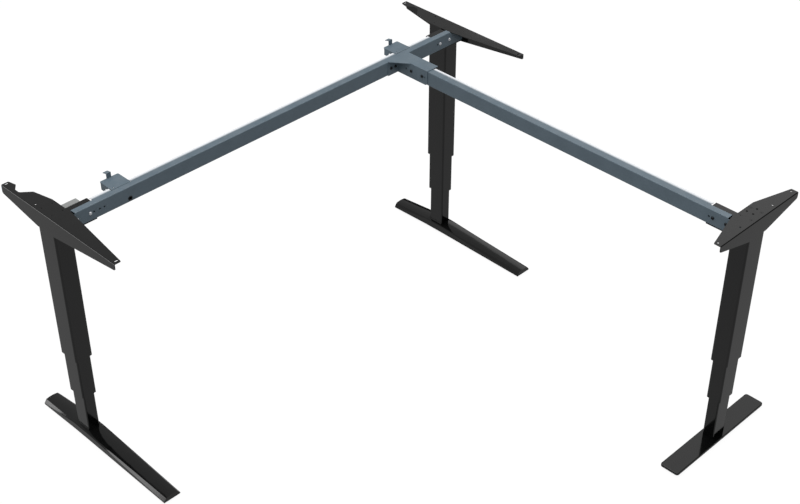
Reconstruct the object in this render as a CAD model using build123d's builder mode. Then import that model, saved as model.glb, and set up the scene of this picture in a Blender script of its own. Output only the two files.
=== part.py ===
from build123d import *
import os
from dataclasses import dataclass

os.makedirs("parts", exist_ok=True)

# Layout, millimetres, floor at z = 0
LEG_SPAN = 1600.0
RETURN_SPAN = 1410.0
RETURN_INSET = 220.0
TOP_HEIGHT = 857.0

# Fits
TOUCH_GAP = 0.05
RUN_GAP = 0.05
FREE_GAP = 0.3
SOCKET_GAP = 0.2

# Telescopic tubes, short side x long side
TUBE_WALL = 2.0
UPPER_SIZE = (60.0, 80.0)
UPPER_RADIUS = 6.0
STAGE_STEP = 10.0
MIDDLE_SIZE = (UPPER_SIZE[0] - STAGE_STEP, UPPER_SIZE[1] - STAGE_STEP)
MIDDLE_RADIUS = 5.0
INNER_SIZE = (MIDDLE_SIZE[0] - STAGE_STEP, MIDDLE_SIZE[1] - STAGE_STEP)
INNER_RADIUS = 4.0
UPPER_BOTTOM = 328.0
MIDDLE_BOTTOM = 178.0
MIDDLE_LENGTH = 530.0
INNER_TOP = 465.0
HEAD_PLATE = 8.0
BASE_PLATE = 12.0
CABLE_HOLE = 14.0
CABLE_HOLE_DROP = 78.0

# Folded brackets
SHEET = 2.5
BEND_RADIUS = 3.0
TUBE_TOP = TOP_HEIGHT - 2 * SHEET
WEB_DEPTH = 60.0
WEB_END_BACK = 28.0
WEB_END_FRONT = 21.0
WEB_CORNER = 6.0
FLANGE_INNER = UPPER_SIZE[0] / 2
FLANGE_OUTER = UPPER_SIZE[0] / 2 + SHEET
LONG_BACK = 210.0
LONG_FRONT = 338.0
LONG_TIP_BACK = 8.0
LONG_TIP_FRONT = 10.0
LONG_WIDE_BACK = 42.0
LONG_WIDE_FRONT = 53.0
SHORT_HALF = 191.0
SHORT_TIP = 8.5
SHORT_WIDE = 54.0
NOTCH_START = 181.0
NOTCH_DEEP_BACK = 160.0
NOTCH_DEEP_FRONT = 140.0
NOTCH_END = 114.0
NOTCH_FLOOR = 17.5
NOTCH_RADIUS = 9.0
SLOT_LENGTH = 12.0
SLOT_WIDTH = 5.5
SLOT_LINE = 18.0
SLOT_BACK = 204.0
SLOT_FRONT = 327.0
PILOT_HOLE = 6.0
PILOT_BACK = 55.0
END_HOLE = 6.5
END_HOLE_INSET = 11.0
END_HOLE_LINE = 15.0
SPARE_HOLES = ((17.0, 4.0), (-4.0, 4.0), (2.5, 33.0), (-17.0, 82.0), (-16.0, -76.0))

# Beams and the arms that carry them
BEAM_WIDTH = 22.0
BEAM_HEIGHT = 50.0
BEAM_WALL = 2.0
BEAM_RADIUS = 2.5
BEAM_OVERRUN = 27.0
BEAM_PROUD = 2.5
BEAM_CUT_GAP = 3.0
BEAM_FAR = UPPER_SIZE[1] / 2 + SHEET
BEAM_NEAR = BEAM_FAR + BEAM_WIDTH
BEAM_TOP = TOP_HEIGHT + BEAM_PROUD
BEAM_BOTTOM = BEAM_TOP - BEAM_HEIGHT
BOLT_LINE = BEAM_BOTTOM + BEAM_HEIGHT / 2
ARM_REACH = 105.0
ARM_TONGUE = 18.0
SHELF_REACH = 102.0
SPARE_BEAM_HOLE = 95.0
LEFT_BEAM_HOLES = (115.0, 131.0)
GROMMET_HOLE = 13.0
GROMMET_REACH = 220.0
GROMMET_DROP = 13.5
LIP_WIDTH = 14.0
LIP_THICK = 1.5
LIP_DROP = 1.5
LIP_GAP = 2.0

# Fasteners
BOLT = 6.0
BOLT_CLEAR = 6.6
BOLT_HEAD = 11.0
BOLT_HEAD_HEIGHT = 3.3
BOLT_TAPER = 25.0
BOLT_SOCKET = 4.0
BOLT_SOCKET_DEPTH = 1.6
BOLT_REACHES = (37.0, 82.0)
NUT_ACROSS = 10.0
NUT_HEIGHT = 5.0
THREAD_PROUD = 1.0
SCREW_HEAD = 10.4
SCREW_DEPTH = 6.0
SCREW_GRID = (36.0, 52.0)
MOTOR_SCREW = 5.0
MOTOR_SCREW_HEAD = 9.0
MOTOR_SCREW_SPACING = 60.0
TAP_SCREW = 4.0
TAP_HEAD = 8.0
TAP_HEAD_HEIGHT = 2.5
TAP_LENGTH = 9.0

# Drive inside each column
MOTOR_BODY = 42.0
MOTOR_FLANGE = (50.0, 70.0)
MOTOR_FLANGE_HEIGHT = 6.0
MOTOR_LENGTH = 92.0
GEAR_BODY = 36.0
GEAR_LENGTH = 30.0
MOTOR_BORE_DEPTH = 15.0
UPPER_SPINDLE = 12.0
UPPER_SPINDLE_BOTTOM = 400.0
LOWER_SPINDLE = 20.0
LOWER_SPINDLE_BOTTOM = 262.0
BRIDGE_BOTTOM = 596.0
BRIDGE_HEIGHT = 18.0
BRIDGE_POCKET = 8.0
LOWER_NUT_HEIGHT = 25.0
GLIDE_HEIGHT = 40.0
GLIDE_INSET = 2.0
GLIDE_WIDE = 44.0
GLIDE_NARROW = 24.0

# Feet
FOOT_BASE = 11.0
FOOT_BASE_BACK = 6.0
FOOT_BASE_FRONT = 7.0
FOOT_WIDTH = 61.0
FOOT_BACK = 208.0
FOOT_FRONT = 421.0
FOOT_PLATEAU = 40.0
FOOT_EDGE = 34.5
FOOT_EDGE_BACK = 11.5
FOOT_EDGE_FRONT = 11.0
FOOT_CROWN = 39.0
FOOT_CROWN_BACK = 26.0
FOOT_CROWN_FRONT = 25.0
FOOT_SHOULDER = 27.5
FOOT_SHOULDER_END = 22.0
FOOT_SHOULDER_DROP = 3.0
SHORT_FOOT_WIDTH = 67.0
SHORT_FOOT_HALF = 231.0
SHORT_FOOT_THICK = 8.0
SHORT_FOOT_CORNER = 9.0
SHORT_FOOT_ROUND = 2.0
FOOT_WALL = 4.0
FOOT_FLOOR = 6.0
FOOT_BLOCK = 52.0
FOOT_SCREW_GRID = (18.0, 38.0)
FOOT_SCREW_HEAD = 10.0
FOOT_SCREW_HEAD_HEIGHT = 4.0
FOOT_SCREW_DEPTH = 10.0
LEVELLER_BACK = 178.0
LEVELLER_FRONT = 345.0
SHORT_LEVELLER = 188.0
LEVELLER_BOSS = 24.0
LEVELLER_DISC = 34.0
LEVELLER_DISC_HEIGHT = 5.0
LEVELLER_STUD = 8.0
LEVELLER_STUD_TOP = 20.0
SHORT_STUD_TOP = 17.0
LEVELLER_HOLE_GAP = 0.5

# Corner bracket and hook brackets
CORNER_SHEET = 2.0
GUSSET_REACH = 45.0
GUSSET_LENGTH = 62.0
CORNER_ARM = 137.0
CORNER_LIP = 26.0
CORNER_DEPTH = 51.0
CORNER_ROUND = 10.0
CORNER_GAP = 1.0
CORNER_BOLTS = (64.0, 113.0)
CORNER_HOLES = (40.0, 124.0)
CORNER_FLANGE_BOLTS = (32.0, 12.0)
CORNER_FLANGE_DROP = 26.0
HOOK_WIDTH = 66.0
HOOK_REACH = 61.0
HOOK_START = 176.0
CORNER_HOOK_LEAD = 52.0
HOOK_BACKPLATE = 38.0
HOOK_DEPTH = 25.0
HOOK_NOTCH_NEAR = 16.0
HOOK_NOTCH_WIDTH = 20.0
HOOK_NOTCH_DEPTH = 14.0
HOOK_NOTCH_RADIUS = 6.0
HOOK_CORNER = 5.0
TAB_START = 25.0
TAB_WIDTH = 16.0
TAB_HEIGHT = 17.0
TAB_LIP = 16.0
TAB_DROOP = 4.0
HOOK_PILOT = 4.5
HOOK_PILOT_START = 11.0
HOOK_PILOT_REACH = 8.0
HOOK_SCREWS = (16.0, 50.0)

# Control box under the left arm's tongue
BOX_START = 32.0
BOX_LENGTH = 52.0
BOX_NEAR = 33.0
BOX_WIDTH = 40.0
BOX_HEIGHT = 40.0
BOX_RADIUS = 3.0
BOX_WALL = 2.0
BOX_ROOF = 3.0
BOX_SCREWS = (48.0, 68.0)
BOX_SCREW_LINE = 26.0
COVER_THICK = 2.0
POST_HEIGHT = 8.0
POST_SIZE = 5.0
BOARD_THICK = 1.6
SOCKET_SIZE = (8.0, 9.0)
SOCKET_PITCH = 11.0
SOCKET_COUNT = 3
SOCKET_DROP = 20.0
INLET_SIZE = (22.0, 10.0)
INLET_DROP = 8.0


@dataclass(frozen=True)
class Leg:
    """One leg: its name, its floor plane with x along the beam, and its hand."""

    name: str
    plane: Plane
    hand: int
    short: bool

    def spot(self, along: float, across: float) -> tuple:
        """Local point: along the beam, and across it toward the back."""
        return (along, self.hand * across)

    def face(self, along: float, height: float) -> tuple:
        """Point on a front plane: along the beam, and up."""
        return (self.hand * along, height)

    def level(self, height: float) -> Plane:
        """Horizontal plane at a height above the floor."""
        return self.plane.offset(height)

    def side(self, along: float) -> Plane:
        """Vertical plane square to the beam; sketch x runs across, y runs up."""
        start = self.plane.from_local_coords(Vector(along, 0, 0))
        return Plane(start, x_dir=self.plane.y_dir * self.hand, z_dir=self.plane.x_dir * self.hand)

    def front(self, across: float) -> Plane:
        """Vertical plane along the beam, facing its near side; sketch y runs up."""
        start = self.plane.from_local_coords(Vector(0, self.hand * across, 0))
        return Plane(start, x_dir=self.plane.x_dir * self.hand, z_dir=self.plane.y_dir * -self.hand)


FRAME_BACK = (RETURN_SPAN + SHORT_FOOT_WIDTH / 2 - LONG_BACK) / 2
LEFT_SPOT = (-LEG_SPAN / 2, FRAME_BACK)
CORNER_SPOT = (LEG_SPAN / 2, FRAME_BACK)
RIGHT_SPOT = (LEG_SPAN / 2 - RETURN_INSET, FRAME_BACK - RETURN_SPAN)
LEFT = Leg("left", Plane((*LEFT_SPOT, 0), x_dir=(1, 0, 0), z_dir=(0, 0, 1)), 1, False)
CORNER = Leg("corner", Plane((*CORNER_SPOT, 0), x_dir=(-1, 0, 0), z_dir=(0, 0, 1)), -1, False)
RIGHT = Leg("right", Plane((*RIGHT_SPOT, 0), x_dir=(0, 1, 0), z_dir=(0, 0, 1)), -1, True)
LEGS = (LEFT, CORNER, RIGHT)


def save(part, name):
    """Label a finished part and write its file."""
    part.label = name
    export_step(part, f"parts/{name}.step")


def outline(leg, points):
    """Closed face from points given along and across the leg's beam."""
    Polygon(*[leg.spot(*point) for point in points], align=None)


def hollow(size, radius, wall):
    """Rounded rectangular tube section."""
    RectangleRounded(size[0], size[1], radius)
    RectangleRounded(size[0] - 2 * wall, size[1] - 2 * wall, radius - wall, mode=Mode.SUBTRACT)


def inside(size, gap):
    """Clear opening of a tube, less a gap on every side."""
    return tuple(side - 2 * TUBE_WALL - 2 * gap for side in size)


def upper_tube(leg):
    """Outer tube at the top, with the head plate welded into it."""
    with BuildPart() as tube:
        with BuildSketch(leg.level(UPPER_BOTTOM)):
            hollow(UPPER_SIZE, UPPER_RADIUS, TUBE_WALL)
        extrude(amount=TUBE_TOP - UPPER_BOTTOM)
        with BuildSketch(leg.level(TUBE_TOP - HEAD_PLATE)):
            RectangleRounded(*inside(UPPER_SIZE, 0), UPPER_RADIUS - TUBE_WALL)
        extrude(amount=HEAD_PLATE)
        with Locations(leg.level(TUBE_TOP)):
            with GridLocations(*SCREW_GRID, 2, 2):
                Hole(BOLT / 2, SCREW_DEPTH)
        with Locations(leg.level(TUBE_TOP)):
            with GridLocations(0, MOTOR_SCREW_SPACING, 1, 2):
                CounterSinkHole(MOTOR_SCREW / 2, MOTOR_SCREW_HEAD / 2, HEAD_PLATE)
        with BuildSketch(leg.side(UPPER_SIZE[0] / 2)):
            with Locations((0, TOP_HEIGHT - CABLE_HOLE_DROP)):
                Circle(CABLE_HOLE / 2)
        extrude(amount=-leg.hand * 2 * TUBE_WALL, mode=Mode.SUBTRACT)
    return tube.part


def middle_tube(leg):
    """Middle tube of the column."""
    with BuildPart() as tube:
        with BuildSketch(leg.level(MIDDLE_BOTTOM)):
            hollow(MIDDLE_SIZE, MIDDLE_RADIUS, TUBE_WALL)
        extrude(amount=MIDDLE_LENGTH)
    return tube.part


def foot_floor(leg):
    """Thickness of the foot under the inner tube."""
    return SHORT_FOOT_THICK if leg.short else FOOT_FLOOR


def inner_tube(leg):
    """Inner tube standing on the foot, closed below by a welded base plate."""
    bottom = FOOT_BASE + foot_floor(leg)
    with BuildPart() as tube:
        with BuildSketch(leg.level(bottom)):
            hollow(INNER_SIZE, INNER_RADIUS, TUBE_WALL)
        extrude(amount=INNER_TOP - bottom)
        with BuildSketch(leg.level(bottom)):
            RectangleRounded(*inside(INNER_SIZE, 0), INNER_RADIUS - TUBE_WALL)
        extrude(amount=BASE_PLATE)
        with BuildSketch(leg.level(bottom)):
            with GridLocations(*FOOT_SCREW_GRID, 2, 2):
                Circle(BOLT / 2)
        extrude(amount=FOOT_SCREW_DEPTH, mode=Mode.SUBTRACT)
    return tube.part


def glides(leg, outer_size, bottom):
    """Four plastic pads at the lower end of a tube, facing the next tube down."""
    thick = STAGE_STEP / 2 - TUBE_WALL - FREE_GAP
    reach_x = outer_size[0] / 2 - TUBE_WALL - thick / 2
    reach_y = outer_size[1] / 2 - TUBE_WALL - thick / 2
    with BuildPart() as pads:
        with BuildSketch(leg.level(bottom + GLIDE_INSET)):
            with GridLocations(2 * reach_x, 0, 2, 1):
                Rectangle(thick, GLIDE_WIDE)
            with GridLocations(0, 2 * reach_y, 1, 2):
                Rectangle(GLIDE_NARROW, thick)
        extrude(amount=GLIDE_HEIGHT)
    return pads.part


def gear_motor(leg):
    """Upright motor and gearbox hung from the head plate."""
    top = TUBE_TOP - HEAD_PLATE
    bottom = top - MOTOR_LENGTH
    with BuildPart() as motor:
        with BuildSketch(leg.level(top)):
            RectangleRounded(*MOTOR_FLANGE, MIDDLE_RADIUS)
        extrude(amount=-MOTOR_FLANGE_HEIGHT)
        with BuildSketch(leg.level(top)):
            Circle(MOTOR_BODY / 2)
        extrude(amount=-(MOTOR_LENGTH - GEAR_LENGTH))
        with BuildSketch(leg.level(bottom)):
            Circle(GEAR_BODY / 2)
        extrude(amount=GEAR_LENGTH)
        with BuildSketch(leg.level(bottom)):
            Circle(UPPER_SPINDLE / 2 + RUN_GAP)
        extrude(amount=MOTOR_BORE_DEPTH, mode=Mode.SUBTRACT)
        with BuildSketch(leg.level(top)):
            with GridLocations(0, MOTOR_SCREW_SPACING, 1, 2):
                Circle(MOTOR_SCREW / 2)
        extrude(amount=-MOTOR_FLANGE_HEIGHT, mode=Mode.SUBTRACT)
    return motor.part


def upper_spindle(leg):
    """Solid spindle turned by the motor."""
    top = TUBE_TOP - HEAD_PLATE - MOTOR_LENGTH + MOTOR_BORE_DEPTH - FREE_GAP
    with BuildPart() as spindle:
        with BuildSketch(leg.level(UPPER_SPINDLE_BOTTOM)):
            Circle(UPPER_SPINDLE / 2)
        extrude(amount=top - UPPER_SPINDLE_BOTTOM)
    return spindle.part


def spindle_bridge(leg):
    """Block across the middle tube: nut for the upper spindle, bearing for the lower."""
    with BuildPart() as bridge:
        with BuildSketch(leg.level(BRIDGE_BOTTOM)):
            RectangleRounded(*inside(MIDDLE_SIZE, TOUCH_GAP), MIDDLE_RADIUS - TUBE_WALL)
            Circle(UPPER_SPINDLE / 2 + RUN_GAP, mode=Mode.SUBTRACT)
        extrude(amount=BRIDGE_HEIGHT)
        with BuildSketch(leg.level(BRIDGE_BOTTOM)):
            Circle(LOWER_SPINDLE / 2 + RUN_GAP)
        extrude(amount=BRIDGE_POCKET, mode=Mode.SUBTRACT)
    return bridge.part


def lower_spindle(leg):
    """Hollow spindle held in the bridge, with the upper spindle running inside it."""
    top = BRIDGE_BOTTOM + BRIDGE_POCKET - FREE_GAP
    with BuildPart() as spindle:
        with BuildSketch(leg.level(LOWER_SPINDLE_BOTTOM)):
            Circle(LOWER_SPINDLE / 2)
            Circle(UPPER_SPINDLE / 2 + FREE_GAP, mode=Mode.SUBTRACT)
        extrude(amount=top - LOWER_SPINDLE_BOTTOM)
    return spindle.part


def lower_nut(leg):
    """Nut block in the mouth of the inner tube."""
    with BuildPart() as nut:
        with BuildSketch(leg.level(INNER_TOP)):
            RectangleRounded(*inside(INNER_SIZE, TOUCH_GAP), INNER_RADIUS - TUBE_WALL)
            Circle(LOWER_SPINDLE / 2 + RUN_GAP, mode=Mode.SUBTRACT)
        extrude(amount=-LOWER_NUT_HEIGHT)
    return nut.part


FOOT_STATIONS = (
    (FOOT_BACK, FOOT_BASE_BACK, FOOT_EDGE_BACK, FOOT_SHOULDER_END, FOOT_CROWN_BACK),
    (FOOT_PLATEAU, FOOT_BASE, FOOT_EDGE, FOOT_SHOULDER, FOOT_CROWN),
    (-FOOT_PLATEAU, FOOT_BASE, FOOT_EDGE, FOOT_SHOULDER, FOOT_CROWN),
    (-FOOT_FRONT, FOOT_BASE_FRONT, FOOT_EDGE_FRONT, FOOT_SHOULDER_END, FOOT_CROWN_FRONT),
)


def foot_section(base, edge, shoulder, crown, inset):
    """Cross-section of a cast foot: upright sides, sloping flanks and an arched top, less a wall."""
    half = FOOT_WIDTH / 2 - inset
    turn = shoulder - inset
    low = base - inset
    side = edge - inset
    top = crown - inset
    bend = top - FOOT_SHOULDER_DROP
    with BuildSketch() as section:
        with BuildLine():
            ThreePointArc((-turn, bend), (0, top), (turn, bend))
            Polyline((turn, bend), (half, side), (half, low), (-half, low), (-half, side), (-turn, bend))
        make_face()
    return section.sketch


def leveller_spots(leg):
    """Distances across the leg at which the levelling feet stand."""
    if leg.short:
        return (SHORT_LEVELLER, -SHORT_LEVELLER)
    return (LEVELLER_BACK, -LEVELLER_FRONT)


def stud_top(leg):
    """Height of the top of a leveller's stud when it is screwed right in."""
    return SHORT_STUD_TOP if leg.short else LEVELLER_STUD_TOP


def plate_foot(leg):
    """Flat plate foot with rounded corners, screw holes and leveller holes."""
    with BuildPart() as plate:
        with BuildSketch(leg.level(FOOT_BASE)):
            RectangleRounded(SHORT_FOOT_WIDTH, 2 * SHORT_FOOT_HALF, SHORT_FOOT_CORNER)
        extrude(amount=SHORT_FOOT_THICK)
        fillet(plate.edges().group_by(Axis.Z)[-1], SHORT_FOOT_ROUND)
        with BuildSketch(leg.level(FOOT_BASE)):
            with GridLocations(*FOOT_SCREW_GRID, 2, 2):
                Circle(BOLT_CLEAR / 2)
        extrude(amount=SHORT_FOOT_THICK, mode=Mode.SUBTRACT)
        with BuildSketch(leg.level(FOOT_BASE)):
            with Locations(*[leg.spot(0, across) for across in leveller_spots(leg)]):
                Circle(LEVELLER_STUD / 2 + RUN_GAP)
        extrude(amount=stud_top(leg) + LEVELLER_HOLE_GAP - FOOT_BASE, mode=Mode.SUBTRACT)
    return plate.part


def cast_foot(leg):
    """Cast foot arched across and along, with pockets, a socket for the tube and leveller holes."""
    spots = leveller_spots(leg)
    pocket_back = spots[0] - LEVELLER_BOSS / 2
    pocket_front = spots[1] + LEVELLER_BOSS / 2
    solid_zones = ((FOOT_BACK, pocket_back), (FOOT_BLOCK, -FOOT_BLOCK), (pocket_front, -FOOT_FRONT))
    with BuildPart() as core:
        for across, *heights in FOOT_STATIONS:
            with BuildSketch(leg.front(across)):
                add(foot_section(*heights, FOOT_WALL))
        loft(ruled=True)
        with BuildSketch(leg.level(0)):
            for start, end in solid_zones:
                with Locations(leg.spot(0, (start + end) / 2)):
                    Rectangle(FOOT_WIDTH, start - end)
        extrude(amount=FOOT_CROWN, mode=Mode.SUBTRACT)
    with BuildPart() as shoe:
        for across, *heights in FOOT_STATIONS:
            with BuildSketch(leg.front(across)):
                add(foot_section(*heights, 0))
        loft(ruled=True)
        add(core.part, mode=Mode.SUBTRACT)
        with BuildSketch(leg.level(FOOT_BASE + FOOT_FLOOR)):
            RectangleRounded(
                INNER_SIZE[0] + 2 * SOCKET_GAP, INNER_SIZE[1] + 2 * SOCKET_GAP, INNER_RADIUS + SOCKET_GAP
            )
        extrude(amount=FOOT_CROWN, mode=Mode.SUBTRACT)
        with BuildSketch(leg.level(FOOT_BASE)):
            with GridLocations(*FOOT_SCREW_GRID, 2, 2):
                Circle(BOLT_CLEAR / 2)
        extrude(amount=FOOT_FLOOR, mode=Mode.SUBTRACT)
        with BuildSketch(leg.level(0)):
            with Locations(*[leg.spot(0, across) for across in spots]):
                Circle(LEVELLER_STUD / 2 + RUN_GAP)
        extrude(amount=stud_top(leg) + LEVELLER_HOLE_GAP, mode=Mode.SUBTRACT)
    return shoe.part


def foot_screws(leg):
    """Four screws from below that hold the inner tube on its foot."""
    with BuildPart() as screws:
        with BuildSketch(leg.level(FOOT_BASE)):
            with GridLocations(*FOOT_SCREW_GRID, 2, 2):
                Circle(FOOT_SCREW_HEAD / 2)
        extrude(amount=-FOOT_SCREW_HEAD_HEIGHT)
        with BuildSketch(leg.level(FOOT_BASE - FOOT_SCREW_HEAD_HEIGHT)):
            with GridLocations(*FOOT_SCREW_GRID, 2, 2):
                RegularPolygon(BOLT_SOCKET / 2, 6)
        extrude(amount=BOLT_SOCKET_DEPTH, mode=Mode.SUBTRACT)
        with BuildSketch(leg.level(FOOT_BASE)):
            with GridLocations(*FOOT_SCREW_GRID, 2, 2):
                Circle(BOLT / 2 - TOUCH_GAP)
        extrude(amount=foot_floor(leg) + FOOT_SCREW_DEPTH - FREE_GAP)
    return screws.part


def leveller(leg, across):
    """One levelling foot: disc on the floor and threaded stud."""
    with BuildPart() as screw:
        with BuildSketch(leg.level(0)):
            with Locations(leg.spot(0, across)):
                Circle(LEVELLER_DISC / 2)
        extrude(amount=LEVELLER_DISC_HEIGHT)
        chamfer(screw.edges().group_by(Axis.Z)[-1], LEVELLER_DISC_HEIGHT / 2)
        with BuildSketch(leg.level(0)):
            with Locations(leg.spot(0, across)):
                Circle(LEVELLER_STUD / 2)
        extrude(amount=stud_top(leg))
    return screw.part


def near_point(leg, points):
    """Test for sketch vertices that lie on one of the given leg points."""
    places = [leg.plane.from_local_coords(Vector(*leg.spot(*point), 0)) for point in points]

    def test(vertex):
        spot = Vector(vertex.X, vertex.Y, 0)
        return any((spot - place).length < SHEET for place in places)

    return test


def long_flange(leg):
    """Flange of a left or corner bracket: tapered both ways, with a cable notch."""
    slope = (FLANGE_INNER + LONG_TIP_BACK) / (LONG_BACK - LONG_WIDE_BACK)
    notch_top = FLANGE_INNER - slope * (NOTCH_START - LONG_WIDE_BACK)
    notch_end = FLANGE_INNER - slope * (NOTCH_END - LONG_WIDE_BACK)
    edge = (
        (-FLANGE_OUTER, LONG_BACK),
        (-LONG_TIP_BACK, LONG_BACK),
        (notch_top, NOTCH_START),
        (-NOTCH_FLOOR, NOTCH_DEEP_BACK),
        (-NOTCH_FLOOR, NOTCH_DEEP_FRONT),
        (notch_end, NOTCH_END),
        (FLANGE_INNER, LONG_WIDE_BACK),
        (FLANGE_INNER, -LONG_WIDE_FRONT),
        (-LONG_TIP_FRONT, -LONG_FRONT),
        (-FLANGE_OUTER, -LONG_FRONT),
    )
    with BuildPart() as plate:
        with BuildSketch(leg.level(TOP_HEIGHT - SHEET)) as face:
            outline(leg, edge)
            with Locations(leg.spot(-SLOT_LINE, SLOT_BACK), leg.spot(-SLOT_LINE, -SLOT_FRONT)):
                SlotOverall(SLOT_LENGTH, SLOT_WIDTH, mode=Mode.SUBTRACT)
            with Locations(leg.spot(-SLOT_LINE, PILOT_BACK)):
                Circle(PILOT_HOLE / 2, mode=Mode.SUBTRACT)
        extrude(amount=SHEET)
        upright = plate.edges().filter_by(Axis.Z)
        bight = near_point(leg, edge[3:6])
        fillet([line for line in upright if bight(line.center())], NOTCH_RADIUS)
        finger = near_point(leg, (edge[1], edge[2], edge[8]))
        fillet([line for line in plate.edges().filter_by(Axis.Z) if finger(line.center())], BEND_RADIUS)
    return plate.part


def short_flange(leg):
    """Flange of the right bracket: tapered both ways, round holes at its ends."""
    edge = (
        (-FLANGE_OUTER, SHORT_HALF),
        (-SHORT_TIP, SHORT_HALF),
        (FLANGE_INNER, SHORT_WIDE),
        (FLANGE_INNER, -SHORT_WIDE),
        (-SHORT_TIP, -SHORT_HALF),
        (-FLANGE_OUTER, -SHORT_HALF),
    )
    with BuildPart() as plate:
        with BuildSketch(leg.level(TOP_HEIGHT - SHEET)):
            outline(leg, edge)
            offset = SHORT_HALF - END_HOLE_INSET
            ends = [leg.spot(-END_HOLE_LINE, side * offset) for side in (1, -1)]
            with Locations(*ends, *[leg.spot(*hole) for hole in SPARE_HOLES]):
                Circle(END_HOLE / 2, mode=Mode.SUBTRACT)
        extrude(amount=SHEET)
        tips = near_point(leg, (edge[1], edge[4]))
        fillet([line for line in plate.edges().filter_by(Axis.Z) if tips(line.center())], BEND_RADIUS)
    return plate.part


def top_bracket(leg):
    """Folded bracket on top of a column: tapered flange and outer web."""
    back = SHORT_HALF if leg.short else LONG_BACK
    front = SHORT_HALF if leg.short else LONG_FRONT
    end_back = WEB_END_FRONT if leg.short else WEB_END_BACK
    half = UPPER_SIZE[1] / 2
    flange = short_flange(leg) if leg.short else long_flange(leg)
    with BuildPart() as bracket:
        add(flange)
        with BuildSketch(leg.side(-FLANGE_OUTER)) as web:
            with BuildLine():
                Polyline(
                    (back, TOP_HEIGHT),
                    (back, TOP_HEIGHT - end_back),
                    (half, TOP_HEIGHT - WEB_DEPTH),
                    (-half, TOP_HEIGHT - WEB_DEPTH),
                    (-front, TOP_HEIGHT - WEB_END_FRONT),
                    (-front, TOP_HEIGHT),
                    close=True,
                )
            make_face()
            fillet(web.vertices().filter_by(lambda v: v.Y < TOP_HEIGHT - SHEET), WEB_CORNER)
        extrude(amount=leg.hand * SHEET)
        outer = leg.plane.from_local_coords(Vector(-FLANGE_OUTER, 0, TOP_HEIGHT))
        bend = bracket.edges().filter_by(lambda e: (e @ 0.5 - outer).dot(leg.plane.x_dir) < TOUCH_GAP)
        fillet(bend.filter_by(lambda e: (e @ 0).Z > TOP_HEIGHT - TOUCH_GAP
                              and (e @ 1).Z > TOP_HEIGHT - TOUCH_GAP), BEND_RADIUS)
        with Locations(leg.level(TOP_HEIGHT)):
            with GridLocations(*SCREW_GRID, 2, 2):
                CounterSinkHole(BOLT_CLEAR / 2, SCREW_HEAD / 2, SHEET)
    return bracket.part


def sunk_screws(leg, grid, counts, top, size, head, length):
    """Countersunk screws on a grid about the column's axis, in the part being built."""
    with Locations(leg.level(top)):
        with GridLocations(*grid, *counts):
            Cone(
                size / 2 - TOUCH_GAP,
                head / 2 - FREE_GAP,
                (head - size) / 2 - FREE_GAP,
                align=(Align.CENTER, Align.CENTER, Align.MAX),
            )
            Cylinder(size / 2 - TOUCH_GAP, length, align=(Align.CENTER, Align.CENTER, Align.MAX))


def bolts(joints):
    """Socket bolts for a list of joints: plane under the heads, places and grip."""
    with BuildPart() as group:
        for plane, spots, grip in joints:
            with BuildSketch(plane):
                with Locations(*spots):
                    Circle(BOLT_HEAD / 2)
            extrude(amount=BOLT_HEAD_HEIGHT, taper=BOLT_TAPER)
            with BuildSketch(plane.offset(BOLT_HEAD_HEIGHT)):
                with Locations(*spots):
                    RegularPolygon(BOLT_SOCKET / 2, 6)
            extrude(amount=-BOLT_SOCKET_DEPTH, mode=Mode.SUBTRACT)
            with BuildSketch(plane):
                with Locations(*spots):
                    Circle(BOLT / 2 - TOUCH_GAP)
            extrude(amount=-(grip + NUT_HEIGHT + THREAD_PROUD))
    return group.part


def nuts(joints):
    """Hexagon nuts for the same joints, at the far end of each grip."""
    with BuildPart() as group:
        for plane, spots, grip in joints:
            with BuildSketch(plane.offset(-grip)):
                with Locations(*spots):
                    RegularPolygon(NUT_ACROSS / 2, 6, major_radius=False)
                    Circle(BOLT / 2, mode=Mode.SUBTRACT)
            extrude(amount=-NUT_HEIGHT)
    return group.part


def beam_arm(leg):
    """Folded arm: plate over the column head, tongue, web beside the beam and shelf below it."""
    half = UPPER_SIZE[0] / 2
    back = UPPER_SIZE[1] / 2
    with BuildPart() as arm:
        with BuildSketch(leg.level(TUBE_TOP)):
            outline(
                leg,
                (
                    (-half, back),
                    (half, back),
                    (half, -ARM_TONGUE),
                    (ARM_REACH, -ARM_TONGUE),
                    (ARM_REACH, -BEAM_FAR),
                    (-half, -BEAM_FAR),
                ),
            )
            with GridLocations(*SCREW_GRID, 2, 2):
                Circle(BOLT_CLEAR / 2, mode=Mode.SUBTRACT)
            if leg is LEFT:
                with Locations(*[leg.spot(along, -BOX_SCREW_LINE) for along in BOX_SCREWS]):
                    Circle(TAP_SCREW / 2, mode=Mode.SUBTRACT)
        extrude(amount=SHEET)
        with BuildSketch(leg.level(BEAM_BOTTOM - SHEET)):
            outline(
                leg,
                ((-half, -back), (ARM_REACH, -back), (ARM_REACH, -BEAM_FAR), (-half, -BEAM_FAR)),
            )
        extrude(amount=TUBE_TOP - BEAM_BOTTOM + SHEET)
        with BuildSketch(leg.level(BEAM_BOTTOM - SHEET)):
            outline(
                leg,
                ((-half, -back), (SHELF_REACH, -back), (SHELF_REACH, -BEAM_NEAR), (-half, -BEAM_NEAR)),
            )
        extrude(amount=SHEET)
        with BuildSketch(leg.front(-BEAM_FAR)):
            with Locations(*[leg.face(along, BOLT_LINE) for along in BOLT_REACHES]):
                Circle(BOLT_CLEAR / 2)
        extrude(amount=-SHEET, mode=Mode.SUBTRACT)
    return arm.part


def drill(plane, spots, size, depth):
    """Round holes drilled inward from a plane, in the part being built."""
    with Locations(plane):
        with Locations(*spots):
            Hole(size / 2, depth)


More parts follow.
